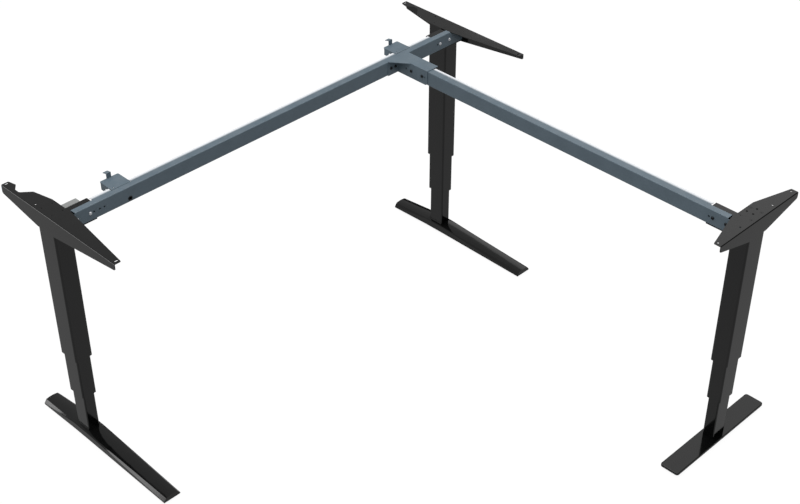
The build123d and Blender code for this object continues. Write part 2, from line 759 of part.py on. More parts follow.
def clear_flange(leg):
    """Cut a beam's end away under a leg's flange, in the part being built."""
    floor = TOP_HEIGHT - SHEET - FREE_GAP
    stop = FLANGE_INNER + BEAM_CUT_GAP
    centre = (stop - BEAM_OVERRUN) / 2
    with Locations(leg.level(floor)):
        with Locations(leg.spot(centre, BEAM_WIDTH / 2 - BEAM_NEAR)):
            Box(
                stop + BEAM_OVERRUN,
                BEAM_WIDTH,
                BEAM_TOP - floor,
                align=(Align.CENTER, Align.CENTER, Align.MIN),
                mode=Mode.SUBTRACT,
            )


def lip_section():
    """Section of the lip along a beam's far top edge, in a plane square to the beam."""
    inner = -BEAM_FAR - BEAM_RADIUS
    outer = -BEAM_FAR + LIP_WIDTH
    Polygon(
        (inner, BEAM_TOP),
        (inner, BEAM_TOP - LIP_THICK),
        (outer, BEAM_TOP - LIP_DROP - LIP_THICK),
        (outer, BEAM_TOP - LIP_DROP),
        align=None,
    )


def main_beam():
    """Long beam from the left leg to the corner leg, with its lip between the brackets."""
    length = LEG_SPAN + 2 * BEAM_OVERRUN
    middle = FRAME_BACK - BEAM_NEAR + BEAM_WIDTH / 2
    stops = [ARM_REACH]
    for start in HOOK_STARTS:
        stops += [start, start + HOOK_WIDTH]
    stops.append(LEG_SPAN - ARM_REACH)
    with BuildPart() as beam:
        with BuildSketch(Plane((-length / 2, middle, BOLT_LINE), x_dir=(0, 1, 0), z_dir=(1, 0, 0))):
            hollow((BEAM_WIDTH, BEAM_HEIGHT), BEAM_RADIUS, BEAM_WALL)
        extrude(amount=length)
        for start, stop in zip(stops[::2], stops[1::2]):
            with BuildSketch(LEFT.side(start + LIP_GAP)):
                lip_section()
            extrude(amount=LEFT.hand * (stop - start - 2 * LIP_GAP))
        for leg in (LEFT, CORNER):
            clear_flange(leg)
            near = leg.front(-BEAM_NEAR)
            bolted = [leg.face(along, BOLT_LINE) for along in BOLT_REACHES]
            drill(near, bolted, BOLT_CLEAR, BEAM_WIDTH)
            drill(near, [leg.face(SPARE_BEAM_HOLE, BOLT_LINE)], BOLT_CLEAR, 2 * BEAM_WALL)
        near = LEFT.front(-BEAM_NEAR)
        spare = [LEFT.face(along, BOLT_LINE) for along in LEFT_BEAM_HOLES]
        drill(near, spare, BOLT_CLEAR, 2 * BEAM_WALL)
        grommet = LEFT.face(GROMMET_REACH, BOLT_LINE - GROMMET_DROP)
        drill(near, [grommet], GROMMET_HOLE, 2 * BEAM_WALL)
        drill(near, corner_flange_spots(), BOLT_CLEAR, 2 * BEAM_WALL)
        far = LEFT.front(-BEAM_FAR + BEAM_WALL)
        for start in HOOK_STARTS:
            drill(far, hook_screw_spots(start), TAP_SCREW, 3 * BEAM_WALL)
    return beam.part


def return_beam():
    """Shorter beam from the corner bracket to the right leg."""
    start = RIGHT.plane.from_local_coords(
        Vector(-BEAM_OVERRUN, RIGHT.hand * (BEAM_WIDTH / 2 - BEAM_NEAR), BOLT_LINE)
    )
    with BuildPart() as beam:
        with BuildSketch(Plane(start, x_dir=(-1, 0, 0), z_dir=(0, 1, 0))):
            hollow((BEAM_WIDTH, BEAM_HEIGHT), BEAM_RADIUS, BEAM_WALL)
        extrude(amount=JOINT - CORNER_GAP + BEAM_OVERRUN)
        clear_flange(RIGHT)
        with BuildSketch(RIGHT.side(ARM_REACH + LIP_GAP)):
            lip_section()
        extrude(amount=RIGHT.hand * (JOINT - CORNER_ARM - ARM_REACH - 2 * LIP_GAP))
        near = RIGHT.front(-BEAM_NEAR)
        bolted = [RIGHT.face(along, BOLT_LINE) for along in BOLT_REACHES]
        bolted += [RIGHT.face(JOINT - back, BOLT_LINE) for back in CORNER_BOLTS]
        drill(near, bolted, BOLT_CLEAR, BEAM_WIDTH)
        spare = [RIGHT.face(SPARE_BEAM_HOLE, BOLT_LINE)]
        spare += [RIGHT.face(JOINT - back, BOLT_LINE) for back in CORNER_HOLES]
        drill(near, spare, BOLT_CLEAR, 2 * BEAM_WALL)
    return beam.part


def corner_flange_spots():
    """Bolts of the corner bracket on the main beam's near face."""
    across = [-(BEAM_NEAR + CORNER_SHEET + out) for out in CORNER_FLANGE_BOLTS]
    across.append(-BEAM_FAR + CORNER_LIP / 2)
    inset = LEG_SPAN - RETURN_INSET
    return [LEFT.face(inset + place, BEAM_TOP - CORNER_FLANGE_DROP) for place in across]


def corner_bracket():
    """Bracket that carries the return beam: top plate with gusset, two walls, two flanges."""
    near = -BEAM_NEAR - CORNER_SHEET
    lip = -BEAM_FAR + CORNER_LIP
    wall_foot = BEAM_TOP - CORNER_DEPTH
    end = JOINT - CORNER_ARM
    with BuildPart() as bracket:
        with BuildSketch(RIGHT.level(BEAM_TOP)):
            outline(
                RIGHT,
                (
                    (JOINT, near - GUSSET_REACH),
                    (JOINT - CORNER_SHEET, near - GUSSET_REACH),
                    (JOINT - GUSSET_LENGTH, near),
                    (end, near),
                    (end, lip),
                    (JOINT, lip),
                ),
            )
        extrude(amount=CORNER_SHEET)
        with BuildSketch(RIGHT.level(wall_foot)):
            outline(RIGHT, ((end, near), (JOINT, near), (JOINT, -BEAM_NEAR), (end, -BEAM_NEAR)))
            far = -BEAM_FAR + CORNER_SHEET
            outline(RIGHT, ((end, -BEAM_FAR), (JOINT, -BEAM_FAR), (JOINT, far), (end, far)))
            back = JOINT - CORNER_SHEET
            left = near - GUSSET_REACH
            outline(RIGHT, ((back, left), (JOINT, left), (JOINT, -BEAM_NEAR), (back, -BEAM_NEAR)))
            outline(RIGHT, ((back, -BEAM_FAR), (JOINT, -BEAM_FAR), (JOINT, lip), (back, lip)))
        extrude(amount=CORNER_DEPTH)
        low_end = bracket.edges().filter_by(Axis.X).group_by(Axis.Z)[0].group_by(Axis.Y)[0]
        fillet(low_end, CORNER_ROUND)
        wall = RIGHT.front(near)
        bolted = [RIGHT.face(JOINT - back, BOLT_LINE) for back in CORNER_BOLTS]
        drill(wall, bolted, BOLT_CLEAR, BEAM_WIDTH + 3 * CORNER_SHEET)
        spare = [RIGHT.face(JOINT - back, BOLT_LINE) for back in CORNER_HOLES]
        drill(wall, spare, BOLT_CLEAR, 2 * CORNER_SHEET)
        flange = LEFT.front(-BEAM_NEAR - CORNER_SHEET)
        drill(flange, corner_flange_spots(), BOLT_CLEAR, CORNER_SHEET)
        outer = bracket.edges().filter_by(Axis.Y).group_by(Axis.Z)[-1].group_by(Axis.X)[0]
        fillet(outer, BEND_RADIUS / 2)
    return bracket.part


def hook_screw_spots(start):
    """Screws of a hook bracket, on the main beam's far face."""
    return [LEFT.face(start + along, BEAM_TOP - HOOK_BACKPLATE / 2) for along in HOOK_SCREWS]


def hook_bracket(start):
    """Hook bracket on the far face of the main beam: shelf, backplate, hook and tab."""
    near = -BEAM_FAR
    back = near + HOOK_REACH
    stop = start + HOOK_WIDTH
    with BuildPart() as bracket:
        with BuildSketch(LEFT.level(BEAM_TOP - CORNER_SHEET)):
            outline(LEFT, ((start, near), (stop, near), (stop, back), (start, back)))
            with Locations(LEFT.spot(start + HOOK_PILOT_START, near + HOOK_PILOT_REACH)):
                Circle(HOOK_PILOT / 2, mode=Mode.SUBTRACT)
        extrude(amount=CORNER_SHEET)
        outer = bracket.edges().filter_by(Axis.Z).group_by(Axis.Y)[-1]
        fillet(outer, HOOK_CORNER)
        plate = near + CORNER_SHEET
        with BuildSketch(LEFT.level(BEAM_TOP - HOOK_BACKPLATE)):
            outline(LEFT, ((start, near), (stop, near), (stop, plate), (start, plate)))
        extrude(amount=HOOK_BACKPLATE)
        notch = near + HOOK_NOTCH_NEAR
        low = BEAM_TOP - HOOK_DEPTH
        with BuildSketch(LEFT.side(start)) as hook:
            with BuildLine():
                Polyline(
                    (near, BEAM_TOP),
                    (near, low),
                    (notch, low),
                    (notch, low + HOOK_NOTCH_DEPTH),
                    (notch + HOOK_NOTCH_WIDTH, low + HOOK_NOTCH_DEPTH),
                    (notch + HOOK_NOTCH_WIDTH, low),
                    (back - HOOK_CORNER, low),
                    (back - HOOK_CORNER, BEAM_TOP),
                    close=True,
                )
            make_face()
            fillet(hook.vertices().group_by(Axis.Y)[1], HOOK_NOTCH_RADIUS)
        extrude(amount=CORNER_SHEET)
        top = BEAM_TOP + TAB_HEIGHT
        with BuildSketch(LEFT.side(start + TAB_START)):
            with BuildLine():
                Polyline(
                    (back, BEAM_TOP - CORNER_SHEET),
                    (back, top - CORNER_SHEET),
                    (back + TAB_LIP, top - TAB_DROOP - CORNER_SHEET),
                    (back + TAB_LIP, top - TAB_DROOP),
                    (back - CORNER_SHEET, top),
                    (back - CORNER_SHEET, BEAM_TOP - CORNER_SHEET),
                    close=True,
                )
            make_face()
        extrude(amount=TAB_WIDTH)
        far = LEFT.front(-BEAM_FAR)
        drill(far, hook_screw_spots(start), TAP_SCREW + 2 * FREE_GAP, CORNER_SHEET)
    return bracket.part


def tapping_screws():
    """Self-tapping screws of the hook brackets and the control box."""
    rear = LEFT.front(CORNER_SHEET - BEAM_FAR)
    joints = [(rear, hook_screw_spots(start), TAP_LENGTH) for start in HOOK_STARTS]
    boxed = [LEFT.spot(along, -BOX_SCREW_LINE) for along in BOX_SCREWS]
    joints.append((LEFT.level(TUBE_TOP - BOX_ROOF), boxed, BOX_ROOF + SHEET - FREE_GAP))
    with BuildPart() as group:
        for plane, spots, length in joints:
            with BuildSketch(plane):
                with Locations(*spots):
                    Circle(TAP_HEAD / 2)
            extrude(amount=-TAP_HEAD_HEIGHT)
            with BuildSketch(plane):
                with Locations(*spots):
                    Circle(TAP_SCREW / 2 - TOUCH_GAP)
            extrude(amount=length)
    return group.part


def control_box():
    """Casing of the controller, open below, with its sockets in the end wall."""
    middle = LEFT.spot(BOX_START + BOX_LENGTH / 2, BOX_WIDTH / 2 - BOX_NEAR)
    end = LEFT.side(BOX_START + BOX_LENGTH)
    centre = BOX_WIDTH / 2 - BOX_NEAR
    with BuildPart() as casing:
        with BuildSketch(LEFT.level(TUBE_TOP - BOX_HEIGHT)):
            with Locations(middle):
                RectangleRounded(BOX_LENGTH, BOX_WIDTH, BOX_RADIUS)
        extrude(amount=BOX_HEIGHT)
        with BuildSketch(LEFT.level(TUBE_TOP - BOX_HEIGHT)):
            with Locations(middle):
                RectangleRounded(*board_size(0), BOX_RADIUS - BOX_WALL)
        extrude(amount=BOX_HEIGHT - BOX_ROOF, mode=Mode.SUBTRACT)
        with BuildSketch(end):
            with Locations((centre, TUBE_TOP - SOCKET_DROP)):
                with GridLocations(SOCKET_PITCH, 0, SOCKET_COUNT, 1):
                    Rectangle(*SOCKET_SIZE)
            with Locations((centre, TUBE_TOP - INLET_DROP)):
                Rectangle(*INLET_SIZE)
        extrude(amount=-2 * BOX_WALL, mode=Mode.SUBTRACT)
        boxed = [LEFT.spot(along, -BOX_SCREW_LINE) for along in BOX_SCREWS]
        drill(LEFT.level(TUBE_TOP), boxed, TAP_SCREW + 2 * FREE_GAP, BOX_ROOF)
    return casing.part


def board_size(gap):
    """Clear inside of the control box, less a gap on every side."""
    return (BOX_LENGTH - 2 * BOX_WALL - 2 * gap, BOX_WIDTH - 2 * BOX_WALL - 2 * gap)


def control_cover():
    """Cover that closes the control box from below, with posts for the board."""
    middle = LEFT.spot(BOX_START + BOX_LENGTH / 2, BOX_WIDTH / 2 - BOX_NEAR)
    clear = board_size(TOUCH_GAP)
    with BuildPart() as cover:
        with BuildSketch(LEFT.level(TUBE_TOP - BOX_HEIGHT)):
            with Locations(middle):
                RectangleRounded(*clear, BOX_RADIUS - BOX_WALL)
        extrude(amount=COVER_THICK)
        with BuildSketch(LEFT.level(TUBE_TOP - BOX_HEIGHT + COVER_THICK)):
            with Locations(middle):
                with GridLocations(clear[0] - 2 * POST_SIZE, clear[1] - 2 * POST_SIZE, 2, 2):
                    Circle(POST_SIZE / 2)
        extrude(amount=POST_HEIGHT)
    return cover.part


def control_board():
    """Circuit board of the controller, on the cover's posts."""
    middle = LEFT.spot(BOX_START + BOX_LENGTH / 2, BOX_WIDTH / 2 - BOX_NEAR)
    with BuildPart() as board:
        with BuildSketch(LEFT.level(TUBE_TOP - BOX_HEIGHT + COVER_THICK + POST_HEIGHT)):
            with Locations(middle):
                Rectangle(*board_size(FREE_GAP))
        extrude(amount=BOARD_THICK)
    return board.part


def bracket_screws():
    """Countersunk screws of all three top brackets."""
    length = 2 * SHEET + SCREW_DEPTH - 2 * FREE_GAP
    with BuildPart() as screws:
        for leg in LEGS:
            sunk_screws(leg, SCREW_GRID, (2, 2), TOP_HEIGHT - FREE_GAP, BOLT, SCREW_HEAD, length)
    return screws.part


def motor_screws():
    """Countersunk screws that hang the gear motors from the head plates."""
    length = HEAD_PLATE + MOTOR_FLANGE_HEIGHT - 2 * FREE_GAP
    with BuildPart() as screws:
        for leg in LEGS:
            grid = (0, MOTOR_SCREW_SPACING)
            top = TUBE_TOP - FREE_GAP
            sunk_screws(leg, grid, (1, 2), top, MOTOR_SCREW, MOTOR_SCREW_HEAD, length)
    return screws.part


def upper_glides():
    """Glide pads of all three upper tubes."""
    with BuildPart() as pads:
        for leg in LEGS:
            add(glides(leg, UPPER_SIZE, UPPER_BOTTOM))
    return pads.part


JOINT = RETURN_SPAN - BEAM_NEAR
HOOK_STARTS = (HOOK_START, LEG_SPAN - RETURN_INSET - CORNER_HOOK_LEAD)
BEAM_GRIP = BEAM_WIDTH + SHEET
BRIGHT_JOINTS = [
    (leg.front(-BEAM_NEAR), [leg.face(along, BOLT_LINE) for along in BOLT_REACHES], BEAM_GRIP)
    for leg in (LEFT, CORNER)
]
DARK_JOINTS = [
    (RIGHT.front(-BEAM_NEAR), [RIGHT.face(along, BOLT_LINE) for along in BOLT_REACHES], BEAM_GRIP),
    (
        RIGHT.front(-BEAM_NEAR - CORNER_SHEET),
        [RIGHT.face(JOINT - back, BOLT_LINE) for back in CORNER_BOLTS],
        BEAM_WIDTH + 2 * CORNER_SHEET,
    ),
    (LEFT.front(-BEAM_NEAR - CORNER_SHEET), corner_flange_spots(), CORNER_SHEET + BEAM_WALL),
]

save(main_beam(), "main_beam")
save(return_beam(), "return_beam")
save(corner_bracket(), "corner_bracket")
save(hook_bracket(HOOK_STARTS[0]), "hook_bracket_left")
save(hook_bracket(HOOK_STARTS[1]), "hook_bracket_corner")
save(control_box(), "control_box")
save(control_cover(), "control_cover")
save(control_board(), "control_board")
save(bolts(BRIGHT_JOINTS), "beam_bolts")
save(bolts(DARK_JOINTS), "return_beam_bolts")
save(nuts(BRIGHT_JOINTS + DARK_JOINTS), "beam_nuts")
save(bracket_screws(), "bracket_screws")
save(motor_screws(), "motor_screws")
save(tapping_screws(), "tapping_screws")
save(upper_glides(), "upper_glides")
for leg in LEGS:
    save(top_bracket(leg), f"top_bracket_{leg.name}")
    save(beam_arm(leg), f"beam_arm_{leg.name}")
    save(upper_tube(leg), f"upper_tube_{leg.name}")
    save(gear_motor(leg), f"gear_motor_{leg.name}")
    save(upper_spindle(leg), f"upper_spindle_{leg.name}")
    save(middle_tube(leg), f"middle_tube_{leg.name}")
    save(glides(leg, MIDDLE_SIZE, MIDDLE_BOTTOM), f"middle_glides_{leg.name}")
    save(spindle_bridge(leg), f"spindle_bridge_{leg.name}")
    save(lower_spindle(leg), f"lower_spindle_{leg.name}")
    save(inner_tube(leg), f"inner_tube_{leg.name}")
    save(lower_nut(leg), f"lower_nut_{leg.name}")
    save(plate_foot(leg) if leg.short else cast_foot(leg), f"foot_{leg.name}")
    save(foot_screws(leg), f"foot_screws_{leg.name}")
    back_spot, front_spot = leveller_spots(leg)
    save(leveller(leg, back_spot), f"leveller_{leg.name}_back")
    save(leveller(leg, front_spot), f"leveller_{leg.name}_front")
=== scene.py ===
"""Looks of an L-shaped, three-leg, height adjustable desk frame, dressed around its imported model."""

import logging
import math
from collections import defaultdict
from dataclasses import dataclass, replace
from enum import Enum
from typing import Any

import bpy
from bpy.types import Material, Node, NodeSocket, NodeTree, Object
from mathutils import Matrix, Vector


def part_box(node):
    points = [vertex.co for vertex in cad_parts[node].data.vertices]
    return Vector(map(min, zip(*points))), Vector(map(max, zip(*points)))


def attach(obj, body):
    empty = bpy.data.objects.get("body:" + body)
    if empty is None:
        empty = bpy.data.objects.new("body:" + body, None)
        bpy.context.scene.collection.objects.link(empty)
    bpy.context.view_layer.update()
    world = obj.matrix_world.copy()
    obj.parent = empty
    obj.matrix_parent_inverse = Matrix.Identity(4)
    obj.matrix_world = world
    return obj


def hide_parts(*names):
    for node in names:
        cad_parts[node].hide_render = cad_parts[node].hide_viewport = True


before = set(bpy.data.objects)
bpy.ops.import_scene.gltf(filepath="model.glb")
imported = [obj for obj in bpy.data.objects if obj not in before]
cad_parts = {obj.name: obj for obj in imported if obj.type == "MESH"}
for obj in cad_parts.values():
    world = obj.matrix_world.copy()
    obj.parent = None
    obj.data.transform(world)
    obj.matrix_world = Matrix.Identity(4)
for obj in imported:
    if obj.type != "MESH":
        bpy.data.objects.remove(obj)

LOG = logging.getLogger("desk_frame")
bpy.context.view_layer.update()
MM = 0.001
TOP_FRAME = "top_frame"

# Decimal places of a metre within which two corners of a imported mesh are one.
WELD_PLACES = 5
# Share of a fastener's length, from either end, in which its head is looked for.
HEAD_ZONE = 0.1
SMOOTH_ANGLE = math.radians(32)
BUMP_STRENGTH = 0.6
AIM = "aim"
REACH = "reach"

FLOAT = "NodeSocketFloat"
VECTOR = "NodeSocketVector"
GEOMETRY = "NodeSocketGeometry"
COUNT = "NodeSocketInt"
MATERIAL = "NodeSocketMaterial"

Colour = tuple[float, float, float]
Point = tuple[float, float, float]
Span = tuple[float, float]

WHITE: Colour = (1.0, 1.0, 1.0)
FULL: Span = (0.0, 1.0)


class LegName(Enum):
    """The three legs, by where they stand."""

    LEFT = "left"
    CORNER = "corner"
    RIGHT = "right"


class Slot(Enum):
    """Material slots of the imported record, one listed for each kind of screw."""

    ZINC = "zinc"
    BLACK_STEEL = "black_steel"
    FOOT_PLASTIC = "foot_plastic"


class Axis(Enum):
    """Level world axes, by their place in a vector."""

    X = 0
    Y = 1


class Graph:
    """Adds nodes to a node tree and joins them."""

    def __init__(self, tree: NodeTree) -> None:
        """Keep the tree that the nodes go into."""
        self.tree = tree

    def node(self, kind: str, inputs: dict[Any, Any] | None = None, **settings: Any) -> Node:
        """Add one node.

        Args:
            kind: The node's type.
            inputs: What feeds its inputs, by name or by place.
            settings: Properties of the node itself.

        Returns:
            The new node.
        """
        made = self.tree.nodes.new(kind)
        for name, value in settings.items():
            setattr(made, name, value)
        for key, value in (inputs or {}).items():
            self.feed(made.inputs[key], value)
        return made

    def feed(self, socket: NodeSocket, value: Any) -> None:
        """Give an input a value, or join a socket to it.

        Args:
            socket: The input.
            value: A plain value, a socket, a node for its first output, or a list of these.
        """
        for given in value if isinstance(value, list) else [value]:
            source = given.outputs[0] if isinstance(given, Node) else given
            if isinstance(source, NodeSocket):
                self.tree.links.new(source, socket)
            else:
                socket.default_value = source

    def calc(self, operation: str, first: Any, second: Any = 0.0, clamp: bool = False) -> NodeSocket:
        """Add a sum of one or two values or sockets; clamp holds it between 0 and 1."""
        inputs = {0: first, 1: second}
        return self.node("ShaderNodeMath", inputs, operation=operation, use_clamp=clamp).outputs[0]

    def weigh(self, share: float, first: Any, second: Any) -> NodeSocket:
        """Add two sockets by weight: the first has this share and the second the rest."""
        rest = self.calc("MULTIPLY", second, 1.0 - share)
        return self.calc("ADD", self.calc("MULTIPLY", first, share), rest)

    def span(self, value: Any, old: Span, new: tuple[Any, Any] = FULL) -> NodeSocket:
        """Map a socket from an old range to a new one, of values or sockets, and hold it within it."""
        inputs = {0: value, 1: old[0], 2: old[1], 3: new[0], 4: new[1]}
        return self.node("ShaderNodeMapRange", inputs).outputs[0]

    def noise(self, place: Any, scale: Any, detail: float, roughness: float = 0.5) -> NodeSocket:
        """Add a noise texture at a scale, with this many finer layers and their strength."""
        inputs = {"Vector": place, "Scale": scale, "Detail": detail, "Roughness": roughness}
        return self.node("ShaderNodeTexNoise", inputs).outputs[0]

    def blend(self, factor: Any, first: Any, second: Any) -> NodeSocket:
        """Mix two colours or sockets; the factor is the share of the second."""
        inputs = {0: factor, 6: opaque(first), 7: opaque(second)}
        return self.node("ShaderNodeMix", inputs, data_type="RGBA").outputs[2]

    def group(self, tree: NodeTree, inputs: dict[str, Any]) -> Node:
        """Place a node group with its inputs by name."""
        return self.node("ShaderNodeGroup", inputs, node_tree=tree)


def opaque(colour: Any) -> Any:
    """Give a plain colour its alpha; leave a socket as it is."""
    return (*colour, 1.0) if isinstance(colour, tuple) else colour


def new_group(
    kind: str, name: str, inputs: dict[str, str], outputs: dict[str, str],
) -> tuple[Graph, Any, Any]:
    """Start a node group with named sockets.

    Args:
        kind: Type of tree.
        name: The group's name.
        inputs: Socket types of its inputs.
        outputs: Socket types of its outputs.

    Returns:
        The graph, the group's inputs and its outputs.
    """
    tree = bpy.data.node_groups.new(name, kind)
    for label, socket_type in inputs.items():
        tree.interface.new_socket(label, in_out="INPUT", socket_type=socket_type)
    for label, socket_type in outputs.items():
        tree.interface.new_socket(label, in_out="OUTPUT", socket_type=socket_type)
    graph = Graph(tree)
    return graph, graph.node("NodeGroupInput").outputs, graph.node("NodeGroupOutput").inputs


class Effects:
    """Shader node groups that several finishes share."""

    MAIN_SHARE = 0.7
    DRIFT_RATIO = 70.0
    GRAIN_TONES: Span = (0.3, 0.7)
    EDGE_TURN: Span = (0.995, 0.86)
    BEVEL_SAMPLES = 4
    RUB_SCALE = 95.0
    RUB_TONES: Span = (0.36, 0.66)
    RUB_LEAST = 0.25
    DUST_SLOPE: Span = (0.7, 0.98)
    DUST_SCALE = 26.0
    DUST_TONES: Span = (0.4, 0.8)
    SPANGLE_SCALE = 700.0
    STREAK_TONES: Span = (0.25, 0.75)

    def __init__(self) -> None:
        """Build each group once."""
        self.grain = self._grain()
        self.wear = self._wear()
        self.dust = self._dust()
        self.streak = self._streak()

    def _grain(self) -> NodeTree:
        """Fine skin of a coating or a moulding, with slow drifts of tone.

        Returns:
            The group, with Tone from 0 to 1 and Height.
        """
        graph, given, result = new_group(
            "ShaderNodeTree", "surface_grain",
            {"Vector": VECTOR, "Scale": FLOAT}, {"Tone": FLOAT, "Height": FLOAT},
        )
        place, scale = given["Vector"], given["Scale"]
        fine = graph.noise(place, scale, detail=3.0, roughness=0.55)
        slow = graph.noise(place, graph.calc("DIVIDE", scale, self.DRIFT_RATIO), detail=5.0, roughness=0.6)
        joined = graph.weigh(self.MAIN_SHARE, slow, fine)
        graph.feed(result["Tone"], graph.span(joined, self.GRAIN_TONES))
        graph.feed(result["Height"], fine)
        return graph.tree

    def _wear(self) -> NodeTree:
        """Rubbed edges, broken up along their length.

        Returns:
            The group, with Mask from 0 to 1.
        """
        graph, given, result = new_group(
            "ShaderNodeTree", "edge_wear",
            {"Vector": VECTOR, "Radius": FLOAT, "Amount": FLOAT}, {"Mask": FLOAT},
        )
        radius = given["Radius"]
        rounded = graph.node("ShaderNodeBevel", {"Radius": radius}, samples=self.BEVEL_SAMPLES)
        flat = graph.node("ShaderNodeNewGeometry").outputs["Normal"]
        agree = graph.node("ShaderNodeVectorMath", {0: rounded, 1: flat}, operation="DOT_PRODUCT")
        edge = graph.span(agree.outputs["Value"], self.EDGE_TURN)
        breaks = graph.noise(given["Vector"], self.RUB_SCALE, detail=4.0, roughness=0.65)
        rubbed = graph.calc("MULTIPLY", edge, graph.span(breaks, self.RUB_TONES, (self.RUB_LEAST, 1.0)))
        graph.feed(result["Mask"], graph.calc("MULTIPLY", rubbed, given["Amount"], clamp=True))
        return graph.tree

    def _dust(self) -> NodeTree:
        """Thin dust on faces that look up.

        Returns:
            The group, with Mask from 0 to 1.
        """
        graph, given, result = new_group(
            "ShaderNodeTree", "settled_dust", {"Vector": VECTOR, "Amount": FLOAT}, {"Mask": FLOAT})
        normal = graph.node("ShaderNodeNewGeometry").outputs["Normal"]
        upward = graph.node("ShaderNodeSeparateXYZ", {0: normal}).outputs["Z"]
        cloud = graph.noise(given["Vector"], self.DUST_SCALE, detail=7.0, roughness=0.7)
        level = graph.span(upward, self.DUST_SLOPE)
        lying = graph.calc("MULTIPLY", level, graph.span(cloud, self.DUST_TONES))
        graph.feed(result["Mask"], graph.calc("MULTIPLY", lying, given["Amount"], clamp=True))
        return graph.tree

    def _streak(self) -> NodeTree:
        """Drawn or turned lines of bare metal, long in one direction.

        Returns:
            The group, with Tone from 0 to 1 and Height.
        """
        graph, given, result = new_group(
            "ShaderNodeTree", "drawn_streak",
            {"Vector": VECTOR, "Stretch": VECTOR}, {"Tone": FLOAT, "Height": FLOAT},
        )
        place = given["Vector"]
        drawn = graph.node("ShaderNodeMapping", {"Vector": place, "Scale": given["Stretch"]})
        lines = graph.noise(drawn, 1.0, detail=4.0)
        spangle = graph.node("ShaderNodeTexVoronoi", {"Vector": place, "Scale": self.SPANGLE_SCALE})
        tint = graph.node("ShaderNodeSeparateColor", {0: spangle.outputs["Color"]})
        joined = graph.weigh(self.MAIN_SHARE, lines, tint)
        graph.feed(result["Tone"], graph.span(joined, self.STREAK_TONES))
        graph.feed(result["Height"], lines)
        return graph.tree


def new_material(name: str) -> tuple[Material, Graph, NodeSocket]:
    """Start an empty node material.

    Args:
        name: The material's name.

    Returns:
        The material, its graph and the Object coordinates.
    """
    material = bpy.data.materials.new(name)
    material.use_nodes = True
    material.node_tree.nodes.clear()
    graph = Graph(material.node_tree)
    return material, graph, graph.node("ShaderNodeTexCoord").outputs["Object"]


def close_material(graph: Graph, inputs: dict[str, Any], height: Any, depth: float) -> None:
    """End a material in a Principled shader with a bump.

    Args:
        graph: The material's graph.
        inputs: Inputs of the shader.
        height: Socket of the bump's height.
        depth: Depth of the bump in metres.
    """
    bump = graph.node("ShaderNodeBump", {"Strength": BUMP_STRENGTH, "Distance": depth, "Height": height})
    shader = graph.node("ShaderNodeBsdfPrincipled", {**inputs, "Normal": bump})
    graph.node("ShaderNodeOutputMaterial", {"Surface": shader})


@dataclass(frozen=True)
class PaintedLipHighlight:
    """Painted highlight: a pale band along a beam's far top lip, in place of a rim reflection, which fades in
    across the lip.
    """

    beam: str
    axis: Axis
    reach: float
    fade: float = 9 * MM
    # Colour of the painted highlight, a rim reflection painted on as a pale band.
    colour: Colour = (0.85, 0.87, 0.9)

    def lay(self, graph: Graph, place: Any, under: Any) -> NodeSocket:
        """Lay the painted highlight band over a colour.

        Args:
            graph: The material's graph.
            place: Socket of the Object coordinates.
            under: Socket of the colour below.

        Returns:
            Socket of the colour with the painted highlight band.
        """
        _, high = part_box(self.beam)
        start = high[self.axis.value] - self.reach
        across = graph.node("ShaderNodeSeparateXYZ", {0: place}).outputs[self.axis.value]
        return graph.blend(graph.span(across, (start, start + self.fade)), under, self.colour)


@dataclass(frozen=True)
class PaintFinish:
    """Powder coat on steel: fine skin, slow drift of tone, rubbed edges and a little dust, and on the beams a
    painted highlight along the far top lip.
    """

    name: str
    dark: Colour
    light: Colour
    worn: Colour
    dust: Colour
    gloss: Span
    grain_scale: float = 1400.0
    grain_depth: float = 0.02 * MM
    edge: float = 1.0 * MM
    wear: float = 0.5
    dust_amount: float = 0.25
    dust_rough: float = 0.25
    ior: float = 1.5
    # Painted highlight band along a beam's far top lip, if any.
    lip: PaintedLipHighlight | None = None

    def make(self, effects: Effects) -> Material:
        """Build the material.

        Args:
            effects: Shared shader groups.

        Returns:
            The material.
        """
        material, graph, place = new_material(self.name)
        grain = graph.group(effects.grain, {"Vector": place, "Scale": self.grain_scale})
        wear = graph.group(effects.wear, {"Vector": place, "Radius": self.edge, "Amount": self.wear})
        dust = graph.group(effects.dust, {"Vector": place, "Amount": self.dust_amount})
        colour = graph.blend(grain.outputs["Tone"], self.dark, self.light)
        # Painted highlight: a pale band on the beam's far top lip, in place of a rim reflection.
        if self.lip:
            colour = self.lip.lay(graph, place, colour)
        colour = graph.blend(dust.outputs["Mask"], colour, self.dust)
        colour = graph.blend(wear.outputs["Mask"], colour, self.worn)
        sheen = graph.span(grain.outputs["Tone"], FULL, self.gloss)
        dulled = graph.calc("MULTIPLY", dust.outputs["Mask"], self.dust_rough)
        rough = graph.calc("ADD", sheen, dulled, clamp=True)
        close_material(graph, {"Base Color": colour, "Roughness": rough, "IOR": self.ior},
                       grain.outputs["Height"], self.grain_depth)
        return material


@dataclass(frozen=True)
class MetalFinish:
    """Plated, drawn or turned metal."""

    name: str
    dark: Colour
    light: Colour
    gloss: Span
    stretch: Point
    depth: float = 0.02 * MM
    edge: float = 0.4 * MM
    wear: float = 0.6

    def make(self, effects: Effects) -> Material:
        """Build the material.

        Args:
            effects: Shared shader groups.

        Returns:
            The material.
        """
        material, graph, place = new_material(self.name)
        streak = graph.group(effects.streak, {"Vector": place, "Stretch": self.stretch})
        wear = graph.group(effects.wear, {"Vector": place, "Radius": self.edge, "Amount": self.wear})
        colour = graph.blend(streak.outputs["Tone"], self.dark, self.light)
        colour = graph.blend(wear.outputs["Mask"], colour, self.light)
        rough = graph.span(streak.outputs["Tone"], FULL, self.gloss)
        close_material(graph, {"Base Color": colour, "Roughness": rough, "Metallic": 1.0},
                       streak.outputs["Height"], self.depth)
        return material


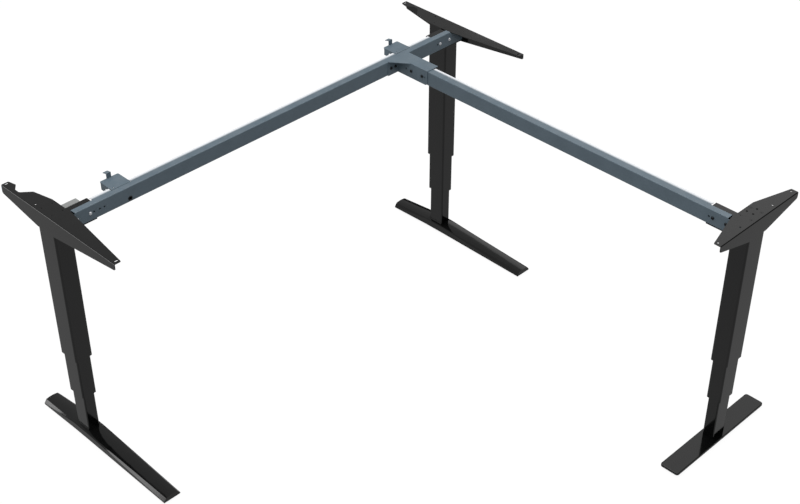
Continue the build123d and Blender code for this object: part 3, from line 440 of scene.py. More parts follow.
@dataclass(frozen=True)
class MouldedFinish:
    """Moulded plastic or rubber with a spark-eroded skin."""

    name: str
    dark: Colour
    light: Colour
    gloss: Span
    grain_scale: float = 1100.0
    grain_depth: float = 0.04 * MM
    edge: float = 0.8 * MM
    wear: float = 0.35
    wear_gain: float = 1.5
    dust: Colour = (0.5, 0.49, 0.47)
    dust_amount: float = 0.15
    ior: float = 1.46

    def make(self, effects: Effects) -> Material:
        """Build the material.

        Args:
            effects: Shared shader groups.

        Returns:
            The material.
        """
        material, graph, place = new_material(self.name)
        grain = graph.group(effects.grain, {"Vector": place, "Scale": self.grain_scale})
        dust = graph.group(effects.dust, {"Vector": place, "Amount": self.dust_amount})
        wear = graph.group(effects.wear, {"Vector": place, "Radius": self.edge, "Amount": self.wear})
        worn = tuple(min(1.0, self.wear_gain * part) for part in self.light)
        colour = graph.blend(grain.outputs["Tone"], self.dark, self.light)
        colour = graph.blend(wear.outputs["Mask"], colour, worn)
        colour = graph.blend(dust.outputs["Mask"], colour, self.dust)
        rough = graph.span(grain.outputs["Tone"], FULL, self.gloss)
        close_material(graph, {"Base Color": colour, "Roughness": rough, "IOR": self.ior},
                       grain.outputs["Height"], self.grain_depth)
        return material


@dataclass(frozen=True)
class BoardFinish:
    """Solder mask over a grid of tracks."""

    name: str
    mask: Colour
    track: Colour
    pitch: float
    track_share: float = 0.06
    track_depth: float = 0.03 * MM
    grain_scale: float = 1600.0
    gloss: Span = (0.3, 0.45)

    def make(self, effects: Effects) -> Material:
        """Build the material.

        Args:
            effects: Shared shader groups.

        Returns:
            The material.
        """
        material, graph, place = new_material(self.name)
        tracks = graph.node("ShaderNodeTexBrick", {
            "Vector": place, "Scale": 1.0 / self.pitch, "Mortar Size": self.track_share,
            "Color1": opaque(self.mask), "Color2": opaque(self.mask), "Mortar": opaque(self.track),
        })
        grain = graph.group(effects.grain, {"Vector": place, "Scale": self.grain_scale})
        rough = graph.span(grain.outputs["Tone"], FULL, self.gloss)
        close_material(graph, {"Base Color": tracks.outputs["Color"], "Roughness": rough},
                       tracks.outputs["Fac"], self.track_depth)
        return material


class Finishes:
    """Every finish of the frame, made once."""

    BLACK = PaintFinish(
        "black_powder_coat", dark=(0.0018, 0.0019, 0.002), light=(0.0032, 0.0033, 0.0034),
        worn=(0.035, 0.035, 0.035), dust=(0.05, 0.05, 0.05), gloss=(0.07, 0.13), wear=0.3, dust_amount=0.04,
    )
    STEEL_BLUE = PaintFinish(
        "steel_blue_powder_coat", dark=(0.092, 0.131, 0.163), light=(0.116, 0.16, 0.196),
        worn=(0.28, 0.34, 0.39), dust=(0.3, 0.31, 0.32), gloss=(0.36, 0.5), wear=0.45, dust_amount=0.2,
    )
    # The beam coats carry a painted highlight: a pale band along the far top lip, in place of a rim
    # reflection.
    MAIN_BEAM = replace(
        STEEL_BLUE, name="main_beam_coat_painted_highlight", lip=PaintedLipHighlight("main_beam", Axis.Y, 13.65 * MM))
    RETURN_BEAM = replace(
        STEEL_BLUE, name="return_beam_coat_painted_highlight", lip=PaintedLipHighlight("return_beam", Axis.X, 13.6 * MM))
    ZINC = MetalFinish(
        "bright_zinc_plate", dark=(0.68, 0.7, 0.73), light=(0.9, 0.92, 0.95), gloss=(0.4, 0.58),
        stretch=(700.0, 700.0, 700.0),
    )
    BLACK_STEEL = MetalFinish(
        "black_oxide_steel", dark=(0.02, 0.022, 0.025), light=(0.045, 0.048, 0.052), gloss=(0.35, 0.5),
        stretch=(900.0, 900.0, 900.0),
    )
    MOTOR = PaintFinish(
        "grey_motor_housing", dark=(0.2, 0.205, 0.21), light=(0.28, 0.285, 0.29), worn=(0.5, 0.5, 0.5),
        dust=(0.35, 0.35, 0.35), gloss=(0.4, 0.6), grain_depth=0.06 * MM,
    )
    SPINDLE = MetalFinish(
        "rolled_spindle_steel", dark=(0.4, 0.41, 0.42), light=(0.6, 0.61, 0.63), gloss=(0.2, 0.35),
        stretch=(60.0, 60.0, 628.0),
    )
    ACETAL = MouldedFinish(
        "white_glide_plastic", dark=(0.62, 0.62, 0.59), light=(0.72, 0.72, 0.7), gloss=(0.35, 0.5))
    CASING = MouldedFinish(
        "grey_casing_plastic", dark=(0.235, 0.243, 0.24), light=(0.285, 0.294, 0.29), gloss=(0.45, 0.6))
    RUBBER = MouldedFinish(
        "black_foot_rubber", dark=(0.012, 0.012, 0.012), light=(0.022, 0.022, 0.023), gloss=(0.6, 0.8))
    BOARD = BoardFinish(
        "green_circuit_board", mask=(0.01, 0.09, 0.03), track=(0.05, 0.2, 0.07), pitch=4 * MM)

    def __init__(self, effects: Effects) -> None:
        """Build the materials with the shared shader groups."""
        listed = [value for value in vars(type(self)).values() if hasattr(value, "make")]
        self._materials = {finish: finish.make(effects) for finish in listed}

    def of(self, finish: Any) -> Material:
        """Return a finish's material."""
        return self._materials[finish]


def dress(node: str, material: Material) -> None:
    """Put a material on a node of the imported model.

    Args:
        node: The node's name.
        material: Its material.
    """
    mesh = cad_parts[node].data
    mesh.materials.clear()
    mesh.materials.append(material)
    LOG.info("dressed %s in %s", node, material.name)


@dataclass
class Island:
    """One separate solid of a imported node."""

    points: list[Vector]

    def low(self) -> Vector:
        """Return the lowest corner."""
        return Vector([min(point[i] for point in self.points) for i in range(3)])

    def high(self) -> Vector:
        """Return the highest corner."""
        return Vector([max(point[i] for point in self.points) for i in range(3)])

    def axis(self) -> int:
        """Find the axis, whose other two sides are the nearest to each other.

        Returns:
            Its place in a vector.
        """
        sides = self.high() - self.low()
        spread = [abs(sides[(i + 1) % 3] - sides[(i + 2) % 3]) for i in range(3)]
        return spread.index(min(spread))

    def girth(self, axis: int, level: float, reach: float) -> float:
        """Measure how wide the solid is near one level of an axis.

        Args:
            axis: The axis's place.
            level: The level on it.
            reach: How near a point has to be.

        Returns:
            The greatest distance from the axis.
        """
        middle = (self.low() + self.high()) / 2
        off = [point - middle for point in self.points if abs(point[axis] - level) < reach]
        for step in off:
            step[axis] = 0.0
        return max((step.length for step in off), default=0.0)


def islands(node: str) -> list[Island]:
    """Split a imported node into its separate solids.

    Args:
        node: The node's name.

    Returns:
        The solids, in a steady order.
    """
    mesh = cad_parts[node].data
    spots = [tuple(round(part, WELD_PLACES) for part in vertex.co) for vertex in mesh.vertices]
    parent: dict[tuple, tuple] = {spot: spot for spot in spots}

    def root(spot: tuple) -> tuple:
        """Follow a spot to the one that stands for its solid.

        Args:
            spot: Any corner of the solid.

        Returns:
            The corner that stands for it.
        """
        while parent[spot] != spot:
            parent[spot] = parent[parent[spot]]
            spot = parent[spot]
        return spot

    for edge in mesh.edges:
        first, second = (root(spots[index]) for index in edge.vertices)
        parent[first] = second
    found: dict[tuple, list[Vector]] = defaultdict(list)
    for spot in sorted(set(spots)):
        found[root(spot)].append(Vector(spot))
    return sorted((Island(points) for points in found.values()), key=lambda one: tuple(one.low()))


@dataclass(frozen=True)
class Seat:
    """Where one fastener or ring sits: the plane under its head, its outward direction and its shank."""

    place: Vector
    aim: Vector
    reach: float = 0.0


def seats_of(node: str, head: float) -> list[Seat]:
    """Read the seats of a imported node's fasteners.

    Args:
        node: The node's name.
        head: Height of a head, in metres.

    Returns:
        One seat for each fastener.
    """
    seats = []
    for one in islands(node):
        axis = one.axis()
        low, high = one.low(), one.high()
        length = high[axis] - low[axis]
        near = HEAD_ZONE * length
        outward = 1.0 if one.girth(axis, high[axis], near) >= one.girth(axis, low[axis], near) else -1.0
        aim = Vector((0.0, 0.0, 0.0))
        aim[axis] = outward
        place = (low + high) / 2
        place[axis] = (high[axis] if outward > 0 else low[axis]) - outward * head
        seats.append(Seat(place, aim, length - head))
    return seats


class RepeatTrees:
    """Geometry node trees for what repeats."""

    HEAD_SIDES = 28
    HEAD_RINGS = 6
    SHANK_SIDES = 20
    NUT_SIDES = 6
    NUT_TURN_SIDES = 30
    NUT_FACE = 0.85
    NUT_FLARE = 1.3
    RING_STEPS = 36
    CORD_STEPS = 12
    RIB_SIDES = 8
    UNSCALED: Point = (1.0, 1.0, 1.0)

    def __init__(self) -> None:
        """Build each tree once."""
        self.screw = self._screw()
        self.nut = self._nut()
        self.ring = self._ring()
        self.ribs = self._ribs()

    @staticmethod
    def _start(name: str, sizes: dict[str, str]) -> tuple[Graph, Any, Any]:
        """Start a tree that takes seats, its named sizes and a material."""
        inputs = {"Seats": GEOMETRY, **sizes, "Material": MATERIAL}
        return new_group("GeometryNodeTree", name, inputs, {"Geometry": GEOMETRY})

    @staticmethod
    def _end(graph: Graph, given: Any, result: Any, shapes: list[tuple[Any, Any]]) -> NodeTree:
        """End a tree: stand its shapes on every seat, realize them and set the material.

        Args:
            graph: The tree's graph.
            given: Its inputs.
            result: Its outputs.
            shapes: Each shape, which looks along Z, and its scale on each seat.

        Returns:
            The tree.
        """
        aim = graph.node("GeometryNodeInputNamedAttribute", {"Name": AIM}, data_type="FLOAT_VECTOR")
        turn = graph.node("FunctionNodeAlignRotationToVector", {"Vector": aim}, axis="Z")
        stood = [
            graph.node("GeometryNodeInstanceOnPoints", {
                "Points": given["Seats"], "Instance": shape, "Rotation": turn, "Scale": scale})
            for shape, scale in shapes
        ]
        joined = graph.node("GeometryNodeJoinGeometry", {0: stood})
        real = graph.node("GeometryNodeRealizeInstances", {0: joined})
        painted = graph.node("GeometryNodeSetMaterial", {"Geometry": real, "Material": given["Material"]})
        graph.feed(result["Geometry"], painted)
        return graph.tree

    @staticmethod
    def _shift(graph: Graph, shape: Any, height: Any) -> Node:
        """Move a shape along Z by a value or a socket."""
        step = graph.node("ShaderNodeCombineXYZ", {"Z": height})
        return graph.node("GeometryNodeTransform", {"Geometry": shape, "Translation": step})

    def _head(self, graph: Graph, given: Any) -> Node:
        """Make a screw's turned head with its drive socket.

        Args:
            graph: The tree's graph.
            given: Its inputs.

        Returns:
            The head, which stands on the seat.
        """
        height = given["Head Height"]
        blank = graph.node("GeometryNodeMeshCone", {
            "Vertices": self.HEAD_SIDES, "Side Segments": self.HEAD_RINGS, "Depth": height,
            "Radius Top": given["Head Top Radius"], "Radius Bottom": given["Head Bottom Radius"],
        })
        spot = graph.node("ShaderNodeSeparateXYZ", {0: graph.node("GeometryNodeInputPosition")}).outputs
        share = graph.calc("DIVIDE", spot["Z"], height)
        swell = graph.calc("SINE", graph.calc("MULTIPLY", share, math.pi))
        wide = graph.calc("ADD", graph.calc("MULTIPLY", swell, given["Bulge"]), 1.0)
        turned = graph.node("ShaderNodeCombineXYZ", {
            "X": graph.calc("MULTIPLY", spot["X"], wide),
            "Y": graph.calc("MULTIPLY", spot["Y"], wide), "Z": spot["Z"],
        })
        domed = graph.node("GeometryNodeSetPosition", {"Geometry": blank, "Position": turned})
        socket = graph.node("GeometryNodeMeshCylinder", {
            "Vertices": given["Socket Sides"], "Radius": given["Socket Radius"],
            "Depth": graph.calc("MULTIPLY", given["Socket Depth"], 2.0),
        })
        sunk = self._shift(graph, socket, height)
        cut = {"Mesh 1": domed, "Mesh 2": sunk}
        return graph.node("GeometryNodeMeshBoolean", cut, operation="DIFFERENCE")

    def _screw(self) -> NodeTree:
        """Screw or bolt: a turned head with a drive socket, and a shank as long as its seat says.

        Returns:
            The tree.
        """
        graph, given, result = self._start("drive_screw", {
            "Head Top Radius": FLOAT, "Head Bottom Radius": FLOAT, "Head Height": FLOAT, "Bulge": FLOAT,
            "Shank Radius": FLOAT, "Socket Sides": COUNT, "Socket Radius": FLOAT, "Socket Depth": FLOAT,
        })
        head = self._head(graph, given)
        shank = graph.node("GeometryNodeMeshCylinder", {
            "Vertices": self.SHANK_SIDES, "Radius": given["Shank Radius"], "Depth": 1.0})
        hung = self._shift(graph, shank, -0.5)
        reach = graph.node("GeometryNodeInputNamedAttribute", {"Name": REACH}, data_type="FLOAT")
        long = graph.node("ShaderNodeCombineXYZ", {"X": 1.0, "Y": 1.0, "Z": reach})
        return self._end(graph, given, result, [(head, self.UNSCALED), (hung, long)])

    def _nut(self) -> NodeTree:
        """Hexagon nut with its outer corners turned off.

        Returns:
            The tree.
        """
        graph, given, result = self._start(
            "hexagon_nut", {"Corner Radius": FLOAT, "Height": FLOAT, "Bore Radius": FLOAT})
        corner, height = given["Corner Radius"], given["Height"]
        hexagon = graph.node("GeometryNodeMeshCylinder",
                             {"Vertices": self.NUT_SIDES, "Radius": corner, "Depth": height})
        turned = graph.node("GeometryNodeMeshCone", {
            "Vertices": self.NUT_TURN_SIDES, "Radius Top": graph.calc("MULTIPLY", corner, self.NUT_FACE),
            "Radius Bottom": graph.calc("MULTIPLY", corner, self.NUT_FLARE), "Depth": height,
        })
        centred = self._shift(graph, turned, graph.calc("MULTIPLY", height, -0.5))
        blank = graph.node("GeometryNodeMeshBoolean", {"Mesh 2": [hexagon, centred]}, operation="INTERSECT")
        bore = graph.node("GeometryNodeMeshCylinder", {
            "Vertices": self.SHANK_SIDES, "Radius": given["Bore Radius"],
            "Depth": graph.calc("MULTIPLY", height, 2.0),
        })
        cut = {"Mesh 1": blank, "Mesh 2": bore}
        bored = graph.node("GeometryNodeMeshBoolean", cut, operation="DIFFERENCE")
        return self._end(graph, given, result, [(bored, self.UNSCALED)])

    def _ring(self) -> NodeTree:
        """Rubber ring round a cable hole.

        Returns:
            The tree.
        """
        graph, given, result = self._start("cable_ring", {"Hole Radius": FLOAT, "Cord Radius": FLOAT})
        path, section = (
            graph.node("GeometryNodeCurvePrimitiveCircle",
                       {"Resolution": steps, "Radius": given[label]}, mode="RADIUS")
            for label, steps in (("Hole Radius", self.RING_STEPS), ("Cord Radius", self.CORD_STEPS))
        )
        ring = graph.node("GeometryNodeCurveToMesh", {"Curve": path, "Profile Curve": section})
        return self._end(graph, given, result, [(ring, self.UNSCALED)])

    def _ribs(self) -> NodeTree:
        """Grip ribs round a levelling foot's rim.

        Returns:
            The tree.
        """
        graph, given, result = self._start(
            "grip_ribs", {"Rim Radius": FLOAT, "Count": COUNT, "Rib Radius": FLOAT, "Rib Height": FLOAT})
        rim = graph.node("GeometryNodeMeshCircle",
                         {"Vertices": given["Count"], "Radius": given["Rim Radius"]})
        rib = graph.node("GeometryNodeMeshCylinder", {
            "Vertices": self.RIB_SIDES, "Radius": given["Rib Radius"],
            "Depth": given["Rib Height"],
        })
        ringed = graph.node("GeometryNodeInstanceOnPoints", {"Points": rim, "Instance": rib})
        real = graph.node("GeometryNodeRealizeInstances", {0: ringed})
        return self._end(graph, given, result, [(real, self.UNSCALED)])


def repeat(
    name: str, tree: NodeTree, seats: list[Seat], values: dict[str, Any],
) -> Object:
    """Run a tree on a list of seats and keep the result as one plain mesh.

    Args:
        name: The new piece's name.
        tree: The geometry node tree.
        seats: Where its shapes go.
        values: The tree's inputs by name.

    Returns:
        The new piece, at the origin.
    """
    points = bpy.data.meshes.new(f"{name}_seats")
    points.from_pydata([seat.place for seat in seats], [], [])
    aims = points.attributes.new(AIM, "FLOAT_VECTOR", "POINT")
    aims.data.foreach_set("vector", [part for seat in seats for part in seat.aim])
    reaches = points.attributes.new(REACH, "FLOAT", "POINT")
    reaches.data.foreach_set("value", [seat.reach for seat in seats])
    holder = bpy.data.objects.new(f"{name}_holder", points)
    bpy.context.scene.collection.objects.link(holder)
    maker = holder.modifiers.new("repeat", "NODES")
    maker.node_group = tree
    sockets = {one.name: one.identifier for one in tree.interface.items_tree if one.in_out == "INPUT"}
    for label, value in values.items():
        maker[sockets[label]] = value
    depsgraph = bpy.context.evaluated_depsgraph_get()
    mesh = bpy.data.meshes.new_from_object(holder.evaluated_get(depsgraph), depsgraph=depsgraph)
    holder.modifiers.remove(maker)
    bpy.data.objects.remove(holder)
    mesh.name = name
    mesh.shade_smooth()
    mesh.set_sharp_from_angle(angle=SMOOTH_ANGLE)
    piece = bpy.data.objects.new(name, mesh)
    bpy.context.scene.collection.objects.link(piece)
    return piece


def place_piece(piece: Object, body: str) -> None:
    """Let a new piece ride on a body.

    Args:
        piece: The new piece.
        body: The body's name.
    """
    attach(piece, body)
    LOG.info("made %s on %s, %d faces", piece.name, body, len(piece.data.polygons))


@dataclass
class Beams:
    """Main beam, return beam, corner bracket and hook brackets."""

    brackets: tuple[str, ...] = ("corner_bracket", "hook_bracket_left", "hook_bracket_corner")
    hole_from_left: float = 247 * MM
    hole_rise: float = 11.5 * MM
    hole_radius: float = 6.5 * MM
    cord_radius: float = 1.3 * MM

    def dress(self, finishes: Finishes) -> None:
        """Put the steel-blue coat on the beams and their brackets, with a painted highlight along each beam's
        far top lip.

        Args:
            finishes: The materials.
        """
        dress("main_beam", finishes.of(Finishes.MAIN_BEAM))
        dress("return_beam", finishes.of(Finishes.RETURN_BEAM))
        for name in self.brackets:
            dress(name, finishes.of(Finishes.STEEL_BLUE))

    def build(self, trees: RepeatTrees, finishes: Finishes) -> None:
        """Make the rubber ring of the main beam's cable hole.

        Args:
            trees: Geometry node trees.
            finishes: The materials.
        """
        low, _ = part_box("main_beam")
        seat = Seat(low + Vector((self.hole_from_left, 0.0, self.hole_rise)), Vector((0.0, -1.0, 0.0)))
        ring = repeat("beam_cable_ring", trees.ring, [seat], {
            "Hole Radius": self.hole_radius, "Cord Radius": self.cord_radius,
            "Material": finishes.of(Finishes.RUBBER),
        })
        place_piece(ring, TOP_FRAME)


@dataclass
class Column:
    """One telescopic leg with its bracket, arm, drive and foot."""

    leg: LegName
    inward: Vector
    hole_drop: float = 73 * MM
    hole_radius: float = 7 * MM
    cord_radius: float = 1.4 * MM
    painted: tuple[str, ...] = ("top_bracket", "beam_arm", "upper_tube", "middle_tube", "inner_tube", "foot")
    plastic: tuple[str, ...] = ("middle_glides", "spindle_bridge", "lower_nut")
    spindles: tuple[str, ...] = ("upper_spindle", "lower_spindle")

    def dress(self, finishes: Finishes) -> None:
        """Dress every node of the leg.

        Args:
            finishes: The materials.
        """
        coats = {
            Finishes.BLACK: self.painted, Finishes.ACETAL: self.plastic, Finishes.SPINDLE: self.spindles,
            Finishes.MOTOR: ("gear_motor",), Finishes.ZINC: ("foot_screws",),
        }
        for finish, names in coats.items():
            for name in names:
                dress(f"{name}_{self.leg.value}", finishes.of(finish))

    def cable_seat(self) -> Seat:
        """Find the hole of the motor lead in the upper tube.

        Returns:
            The seat of the ring round it.
        """
        low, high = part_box(f"upper_tube_{self.leg.value}")
        middle = (low + high) / 2
        half = (high - low) / 2
        out = Vector([half[i] * self.inward[i] for i in range(3)])
        return Seat(Vector((middle.x, middle.y, high.z - self.hole_drop)) + out, self.inward)


@dataclass
class CableRings:
    """Rubber rings round the motor lead holes of all the columns."""

    columns: list[Column]

    def build(self, trees: RepeatTrees, finishes: Finishes) -> None:
        """Make the rings as one piece of the top frame.

        Args:
            trees: Geometry node trees.
            finishes: The materials.
        """
        first = self.columns[0]
        rings = repeat("motor_lead_rings", trees.ring, [column.cable_seat() for column in self.columns], {
            "Hole Radius": first.hole_radius, "Cord Radius": first.cord_radius,
            "Material": finishes.of(Finishes.RUBBER),
        })
        place_piece(rings, TOP_FRAME)


@dataclass
class Levellers:
    """Levelling feet with grip ribs round their rims."""

    ends: tuple[str, ...] = ("back", "front")
    disc_radius: float = 17 * MM
    rib_level: float = 1.3 * MM
    rib_height: float = 2 * MM
    rib_radius: float = 0.8 * MM
    rib_count: int = 30

    def build(self, trees: RepeatTrees, finishes: Finishes) -> None:
        """Dress each levelling foot and make its ribs.

        Args:
            trees: Geometry node trees.
            finishes: The materials.
        """
        rubber = finishes.of(Finishes.RUBBER)
        for leg in LegName:
            for end in self.ends:
                node = f"leveller_{leg.value}_{end}"
                dress(node, rubber)
                low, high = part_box(node)
                centre = (low + high) / 2
                seat = Seat(Vector((centre.x, centre.y, low.z + self.rib_level)), Vector((0.0, 0.0, 1.0)))
                ribs = repeat(f"grip_ribs_{leg.value}_{end}", trees.ribs, [seat], {
                    "Rim Radius": self.disc_radius, "Count": self.rib_count, "Rib Radius": self.rib_radius,
                    "Rib Height": self.rib_height, "Material": rubber,
                })
                place_piece(ribs, f"{leg.value}_{end}_leveller")


@dataclass(frozen=True)
class Head:
    """Turned head of a screw: its radii, its height and how far its side swells, as a share."""

    top: float
    bottom: float
    height: float
    bulge: float


@dataclass(frozen=True)
class Drive:
    """Drive socket in a screw's head."""

    sides: int
    radius: float
    depth: float


@dataclass(frozen=True)
class ScrewKind:
    """One kind of screw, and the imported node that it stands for."""

    node: str
    piece: str
    finish: Any
    slot: Slot
    head: Head
    shank: float
    drive: Drive

    def build(self, trees: RepeatTrees, finishes: Finishes) -> None:
        """Make the screws in place of their node.

        Args:
            trees: Geometry node trees.
            finishes: The materials.
        """
        head, drive = self.head, self.drive
        made = repeat(self.piece, trees.screw, seats_of(self.node, head.height), {
            "Head Top Radius": head.top, "Head Bottom Radius": head.bottom, "Head Height": head.height,
            "Bulge": head.bulge, "Shank Radius": self.shank, "Socket Sides": drive.sides,
            "Socket Radius": drive.radius, "Socket Depth": drive.depth,
            "Material": finishes.of(self.finish),
        })
        place_piece(made, TOP_FRAME)
        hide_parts(self.node)


BUTTON_HEAD = Head(top=3.4 * MM, bottom=5.3 * MM, height=3.3 * MM, bulge=0.16)
SUNK_HEAD = Head(top=4.85 * MM, bottom=2.95 * MM, height=1.9 * MM, bulge=0.0)
PAN_HEAD = Head(top=2.4 * MM, bottom=3.8 * MM, height=2.5 * MM, bulge=0.2)


@dataclass
class Fasteners:
    """Bolts, screws and nuts of the top frame."""

    nut_corner: float = 5.77 * MM
    nut_height: float = 5 * MM
    nut_bore: float = 3 * MM
    kinds: tuple[ScrewKind, ...] = (
        ScrewKind("beam_bolts", "bright_beam_bolts", Finishes.ZINC, Slot.ZINC,
                  BUTTON_HEAD, 2.95 * MM, Drive(6, 1.9 * MM, 1.2 * MM)),
        ScrewKind("return_beam_bolts", "dark_beam_bolts", Finishes.BLACK_STEEL, Slot.BLACK_STEEL,
                  BUTTON_HEAD, 2.95 * MM, Drive(6, 2.1 * MM, 1.6 * MM)),
        ScrewKind("bracket_screws", "sunk_bracket_screws", Finishes.BLACK, Slot.BLACK_STEEL,
                  SUNK_HEAD, 2.9 * MM, Drive(6, 1.7 * MM, 1.2 * MM)),
        ScrewKind("tapping_screws", "pan_head_screws", Finishes.BLACK_STEEL, Slot.BLACK_STEEL,
                  PAN_HEAD, 1.9 * MM, Drive(4, 1.3 * MM, 1.2 * MM)),
    )

    def build(self, trees: RepeatTrees, finishes: Finishes) -> None:
        """Make every screw and nut.

        Args:
            trees: Geometry node trees.
            finishes: The materials.
        """
        for kind in self.kinds:
            kind.build(trees, finishes)
        seats = [Seat(one.place + one.aim * self.nut_height / 2, one.aim)
                 for one in seats_of("beam_nuts", self.nut_height)]
        nuts = repeat("hexagon_nuts", trees.nut, seats, {
            "Corner Radius": self.nut_corner, "Height": self.nut_height, "Bore Radius": self.nut_bore,
            "Material": finishes.of(Finishes.ZINC),
        })
        place_piece(nuts, TOP_FRAME)
        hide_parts("beam_nuts")
        dress("motor_screws", finishes.of(Finishes.ZINC))


@dataclass
class Controller:
    """Control box with its cover and board, and the glide pads of the top frame."""

    casing: tuple[str, ...] = ("control_box", "control_cover")

    def dress(self, finishes: Finishes) -> None:
        """Dress the box, the board and the pads.

        Args:
            finishes: The materials.
        """
        for name in self.casing:
            dress(name, finishes.of(Finishes.CASING))
        dress("control_board", finishes.of(Finishes.BOARD))
        dress("upper_glides", finishes.of(Finishes.ACETAL))


@dataclass(frozen=True)
class Panel:
    """One soft light panel of the studio, or a dark one, with its width, height and radiance."""

    name: str
    centre: Point
    target: Point
    width: float
    height: float
    radiance: float

    # Below this, a panel looks straight down and has no level side of its own.
    STEEP = 0.01

    def corners(self) -> list[Vector]:
        """Work out the panel's outline.

        Returns:
            Its four corners, in order.
        """
        centre = Vector(self.centre)
        toward = (Vector(self.target) - centre).normalized()
        side = toward.cross(Vector((0.0, 0.0, 1.0)))
        side = side.normalized() if side.length > self.STEEP else Vector((1.0, 0.0, 0.0))
        rise = side.cross(toward)
        wide, tall = side * self.width / 2, rise * self.height / 2
        return [centre - wide - tall, centre + wide - tall, centre + wide + tall, centre - wide + tall]


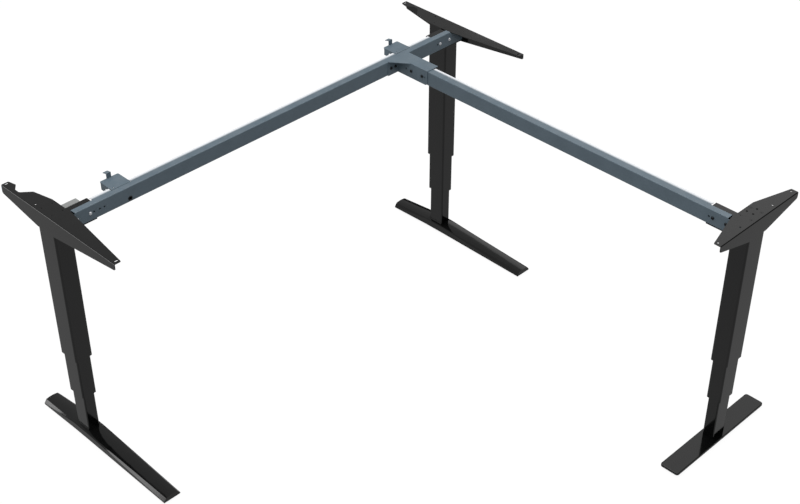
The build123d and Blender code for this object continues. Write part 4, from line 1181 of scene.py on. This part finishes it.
@dataclass
class Studio:
    """Pale floor, soft panels, even surround and the camera."""

    floor_half: float = 9.0
    floor_drop: float = 0.4 * MM
    floor_seen: float = 0.95
    floor_shade: float = 0.09
    floor_glow: float = 0.335
    floor_far_glow: float = 0.05
    glance: Span = (0.58, 0.88)
    paper_scale: float = 3.0
    paper_tone: float = 0.996
    surround: float = 0.4
    backdrop_seen: float = 1.0
    camera_place: Point = (-2.529278, -2.508483, 3.210322)
    azimuth: float = -45.1845684
    elevation: float = 37.1363049
    roll: float = 0.143890519
    focal_pixels: float = 1470.20839
    image: tuple[int, int] = (800, 504)
    axis_pixel: tuple[float, float] = (405.054881, 278.976999)
    sensor: float = 36.0
    panels: tuple[Panel, ...] = (
        Panel("overhead_panel", (0.0, 0.0, 5.2), (0.0, 0.0, 0.0), 5.0, 5.0, 2.85),
        Panel("right_panel", (4.1, 1.05, 3.2), (0.58, -0.79, 0.4), 3.2, 3.2, 0.95),
        Panel("left_panel", (-4.4, 3.8, 1.45), (-0.8, 0.4, 1.45), 2.0, 2.5, 3.8),
        Panel("far_panel", (4.5, 3.05, 2.4), (0.8, 0.4, 2.4), 1.2, 1.5, 0.95),
        Panel("dark_card", (3.8, -3.0, 2.85), (0.58, -0.79, 0.857), 4.4, 3.4, 0.03),
        Panel("low_card", (4.5, 3.05, 0.8), (0.8, 0.4, 0.8), 2.4, 1.6, 0.03),
    )

    def build(self) -> None:
        """Set up the stage, the light and the camera."""
        self._colours()
        self._world()
        self._floor()
        for panel in self.panels:
            self._panel(panel)
        self._camera()

    @staticmethod
    def _colours() -> None:
        """Show colours as they are lit, with no film curve."""
        bpy.context.scene.view_settings.view_transform = "Standard"

    def _world(self) -> None:
        """Light the scene evenly; the backdrop itself is seen as white."""
        world = bpy.data.worlds.new("even_surround")
        world.use_nodes = True
        world.node_tree.nodes.clear()
        graph = Graph(world.node_tree)
        seen = graph.node("ShaderNodeLightPath").outputs["Is Camera Ray"]
        level = graph.span(seen, FULL, (self.surround, self.backdrop_seen))
        shade = graph.node("ShaderNodeBackground", {"Color": opaque(WHITE), "Strength": level})
        graph.node("ShaderNodeOutputWorld", {"Surface": shade})
        bpy.context.scene.world = world

    def _floor(self) -> None:
        """Make the pale floor, which is clear from below and glows less at a glancing angle."""
        material, graph, place = new_material("pale_floor")
        seen = graph.node("ShaderNodeLightPath").outputs["Is Camera Ray"]
        paper = graph.noise(place, self.paper_scale, detail=2.0)
        tint = graph.blend(paper, (self.paper_tone,) * 3, WHITE)
        facing = graph.node("ShaderNodeLayerWeight").outputs["Facing"]
        unseen = graph.span(facing, self.glance, (self.floor_glow, self.floor_far_glow))
        strength = graph.span(seen, FULL, (unseen, self.floor_seen))
        glow = graph.node("ShaderNodeEmission", {"Color": tint, "Strength": strength})
        matt = graph.node("ShaderNodeBsdfDiffuse", {"Color": opaque((self.floor_shade,) * 3)})
        lit = graph.node("ShaderNodeAddShader", {0: glow, 1: matt})
        clear = graph.node("ShaderNodeBsdfTransparent")
        below = graph.node("ShaderNodeNewGeometry").outputs["Backfacing"]
        surface = graph.node("ShaderNodeMixShader", {0: below, 1: lit, 2: clear})
        graph.node("ShaderNodeOutputMaterial", {"Surface": surface})
        half, level = self.floor_half, -self.floor_drop
        corners = [(-half, -half, level), (half, -half, level), (half, half, level), (-half, half, level)]
        self._sheet("studio_floor", corners, material)

    def _panel(self, panel: Panel) -> None:
        """Make one light panel, which the camera doesn't see.

        Args:
            panel: Its place, size and radiance.
        """
        material, graph, _ = new_material(panel.name)
        glow = graph.node("ShaderNodeEmission", {"Color": opaque(WHITE), "Strength": panel.radiance})
        graph.node("ShaderNodeOutputMaterial", {"Surface": glow})
        self._sheet(panel.name, panel.corners(), material).visible_camera = False

    @staticmethod
    def _sheet(name: str, corners: list[Any], material: Material) -> Object:
        """Make a flat stage sheet.

        Args:
            name: Its name.
            corners: Its four corners.
            material: Its material.

        Returns:
            The sheet.
        """
        mesh = bpy.data.meshes.new(name)
        mesh.from_pydata(corners, [], [(0, 1, 2, 3)])
        mesh.materials.append(material)
        sheet = bpy.data.objects.new(name, mesh)
        bpy.context.scene.collection.objects.link(sheet)
        LOG.info("staged %s", name)
        return sheet

    def _camera(self) -> None:
        """Stand the camera where the picture was taken from."""
        lens = bpy.data.cameras.new("picture_camera")
        wide, tall = self.image
        lens.sensor_fit = "HORIZONTAL"
        lens.sensor_width = self.sensor
        lens.lens = self.focal_pixels / wide * self.sensor
        lens.shift_x = (wide / 2 - self.axis_pixel[0]) / wide
        lens.shift_y = (self.axis_pixel[1] - tall / 2) / wide
        turn, rise, roll = (math.radians(angle) for angle in (self.azimuth, self.elevation, self.roll))
        forward = Vector((-math.sin(turn) * math.cos(rise), math.cos(turn) * math.cos(rise), -math.sin(rise)))
        right = Vector((math.cos(turn), math.sin(turn), 0.0))
        up = right.cross(forward)
        level_right = right * math.cos(roll) + up * math.sin(roll)
        level_up = up * math.cos(roll) - right * math.sin(roll)
        camera = bpy.data.objects.new("picture_camera", lens)
        bpy.context.scene.collection.objects.link(camera)
        basis = Matrix((level_right, level_up, -forward)).transposed()
        camera.matrix_world = Matrix.Translation(Vector(self.camera_place)) @ basis.to_4x4()
        bpy.context.scene.camera = camera


def main() -> None:
    """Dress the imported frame, add its small pieces and set up the studio."""
    logging.basicConfig(level=logging.INFO, format="%(name)s: %(message)s")
    effects = Effects()
    finishes = Finishes(effects)
    trees = RepeatTrees()
    beams = Beams()
    beams.dress(finishes)
    beams.build(trees, finishes)
    columns = [
        Column(LegName.LEFT, Vector((1.0, 0.0, 0.0))),
        Column(LegName.CORNER, Vector((-1.0, 0.0, 0.0))),
        Column(LegName.RIGHT, Vector((0.0, 1.0, 0.0))),
    ]
    for column in columns:
        column.dress(finishes)
    CableRings(columns).build(trees, finishes)
    Levellers().build(trees, finishes)
    Fasteners().build(trees, finishes)
    Controller().dress(finishes)
    Studio().build()


if __name__ == "__main__":
    main()
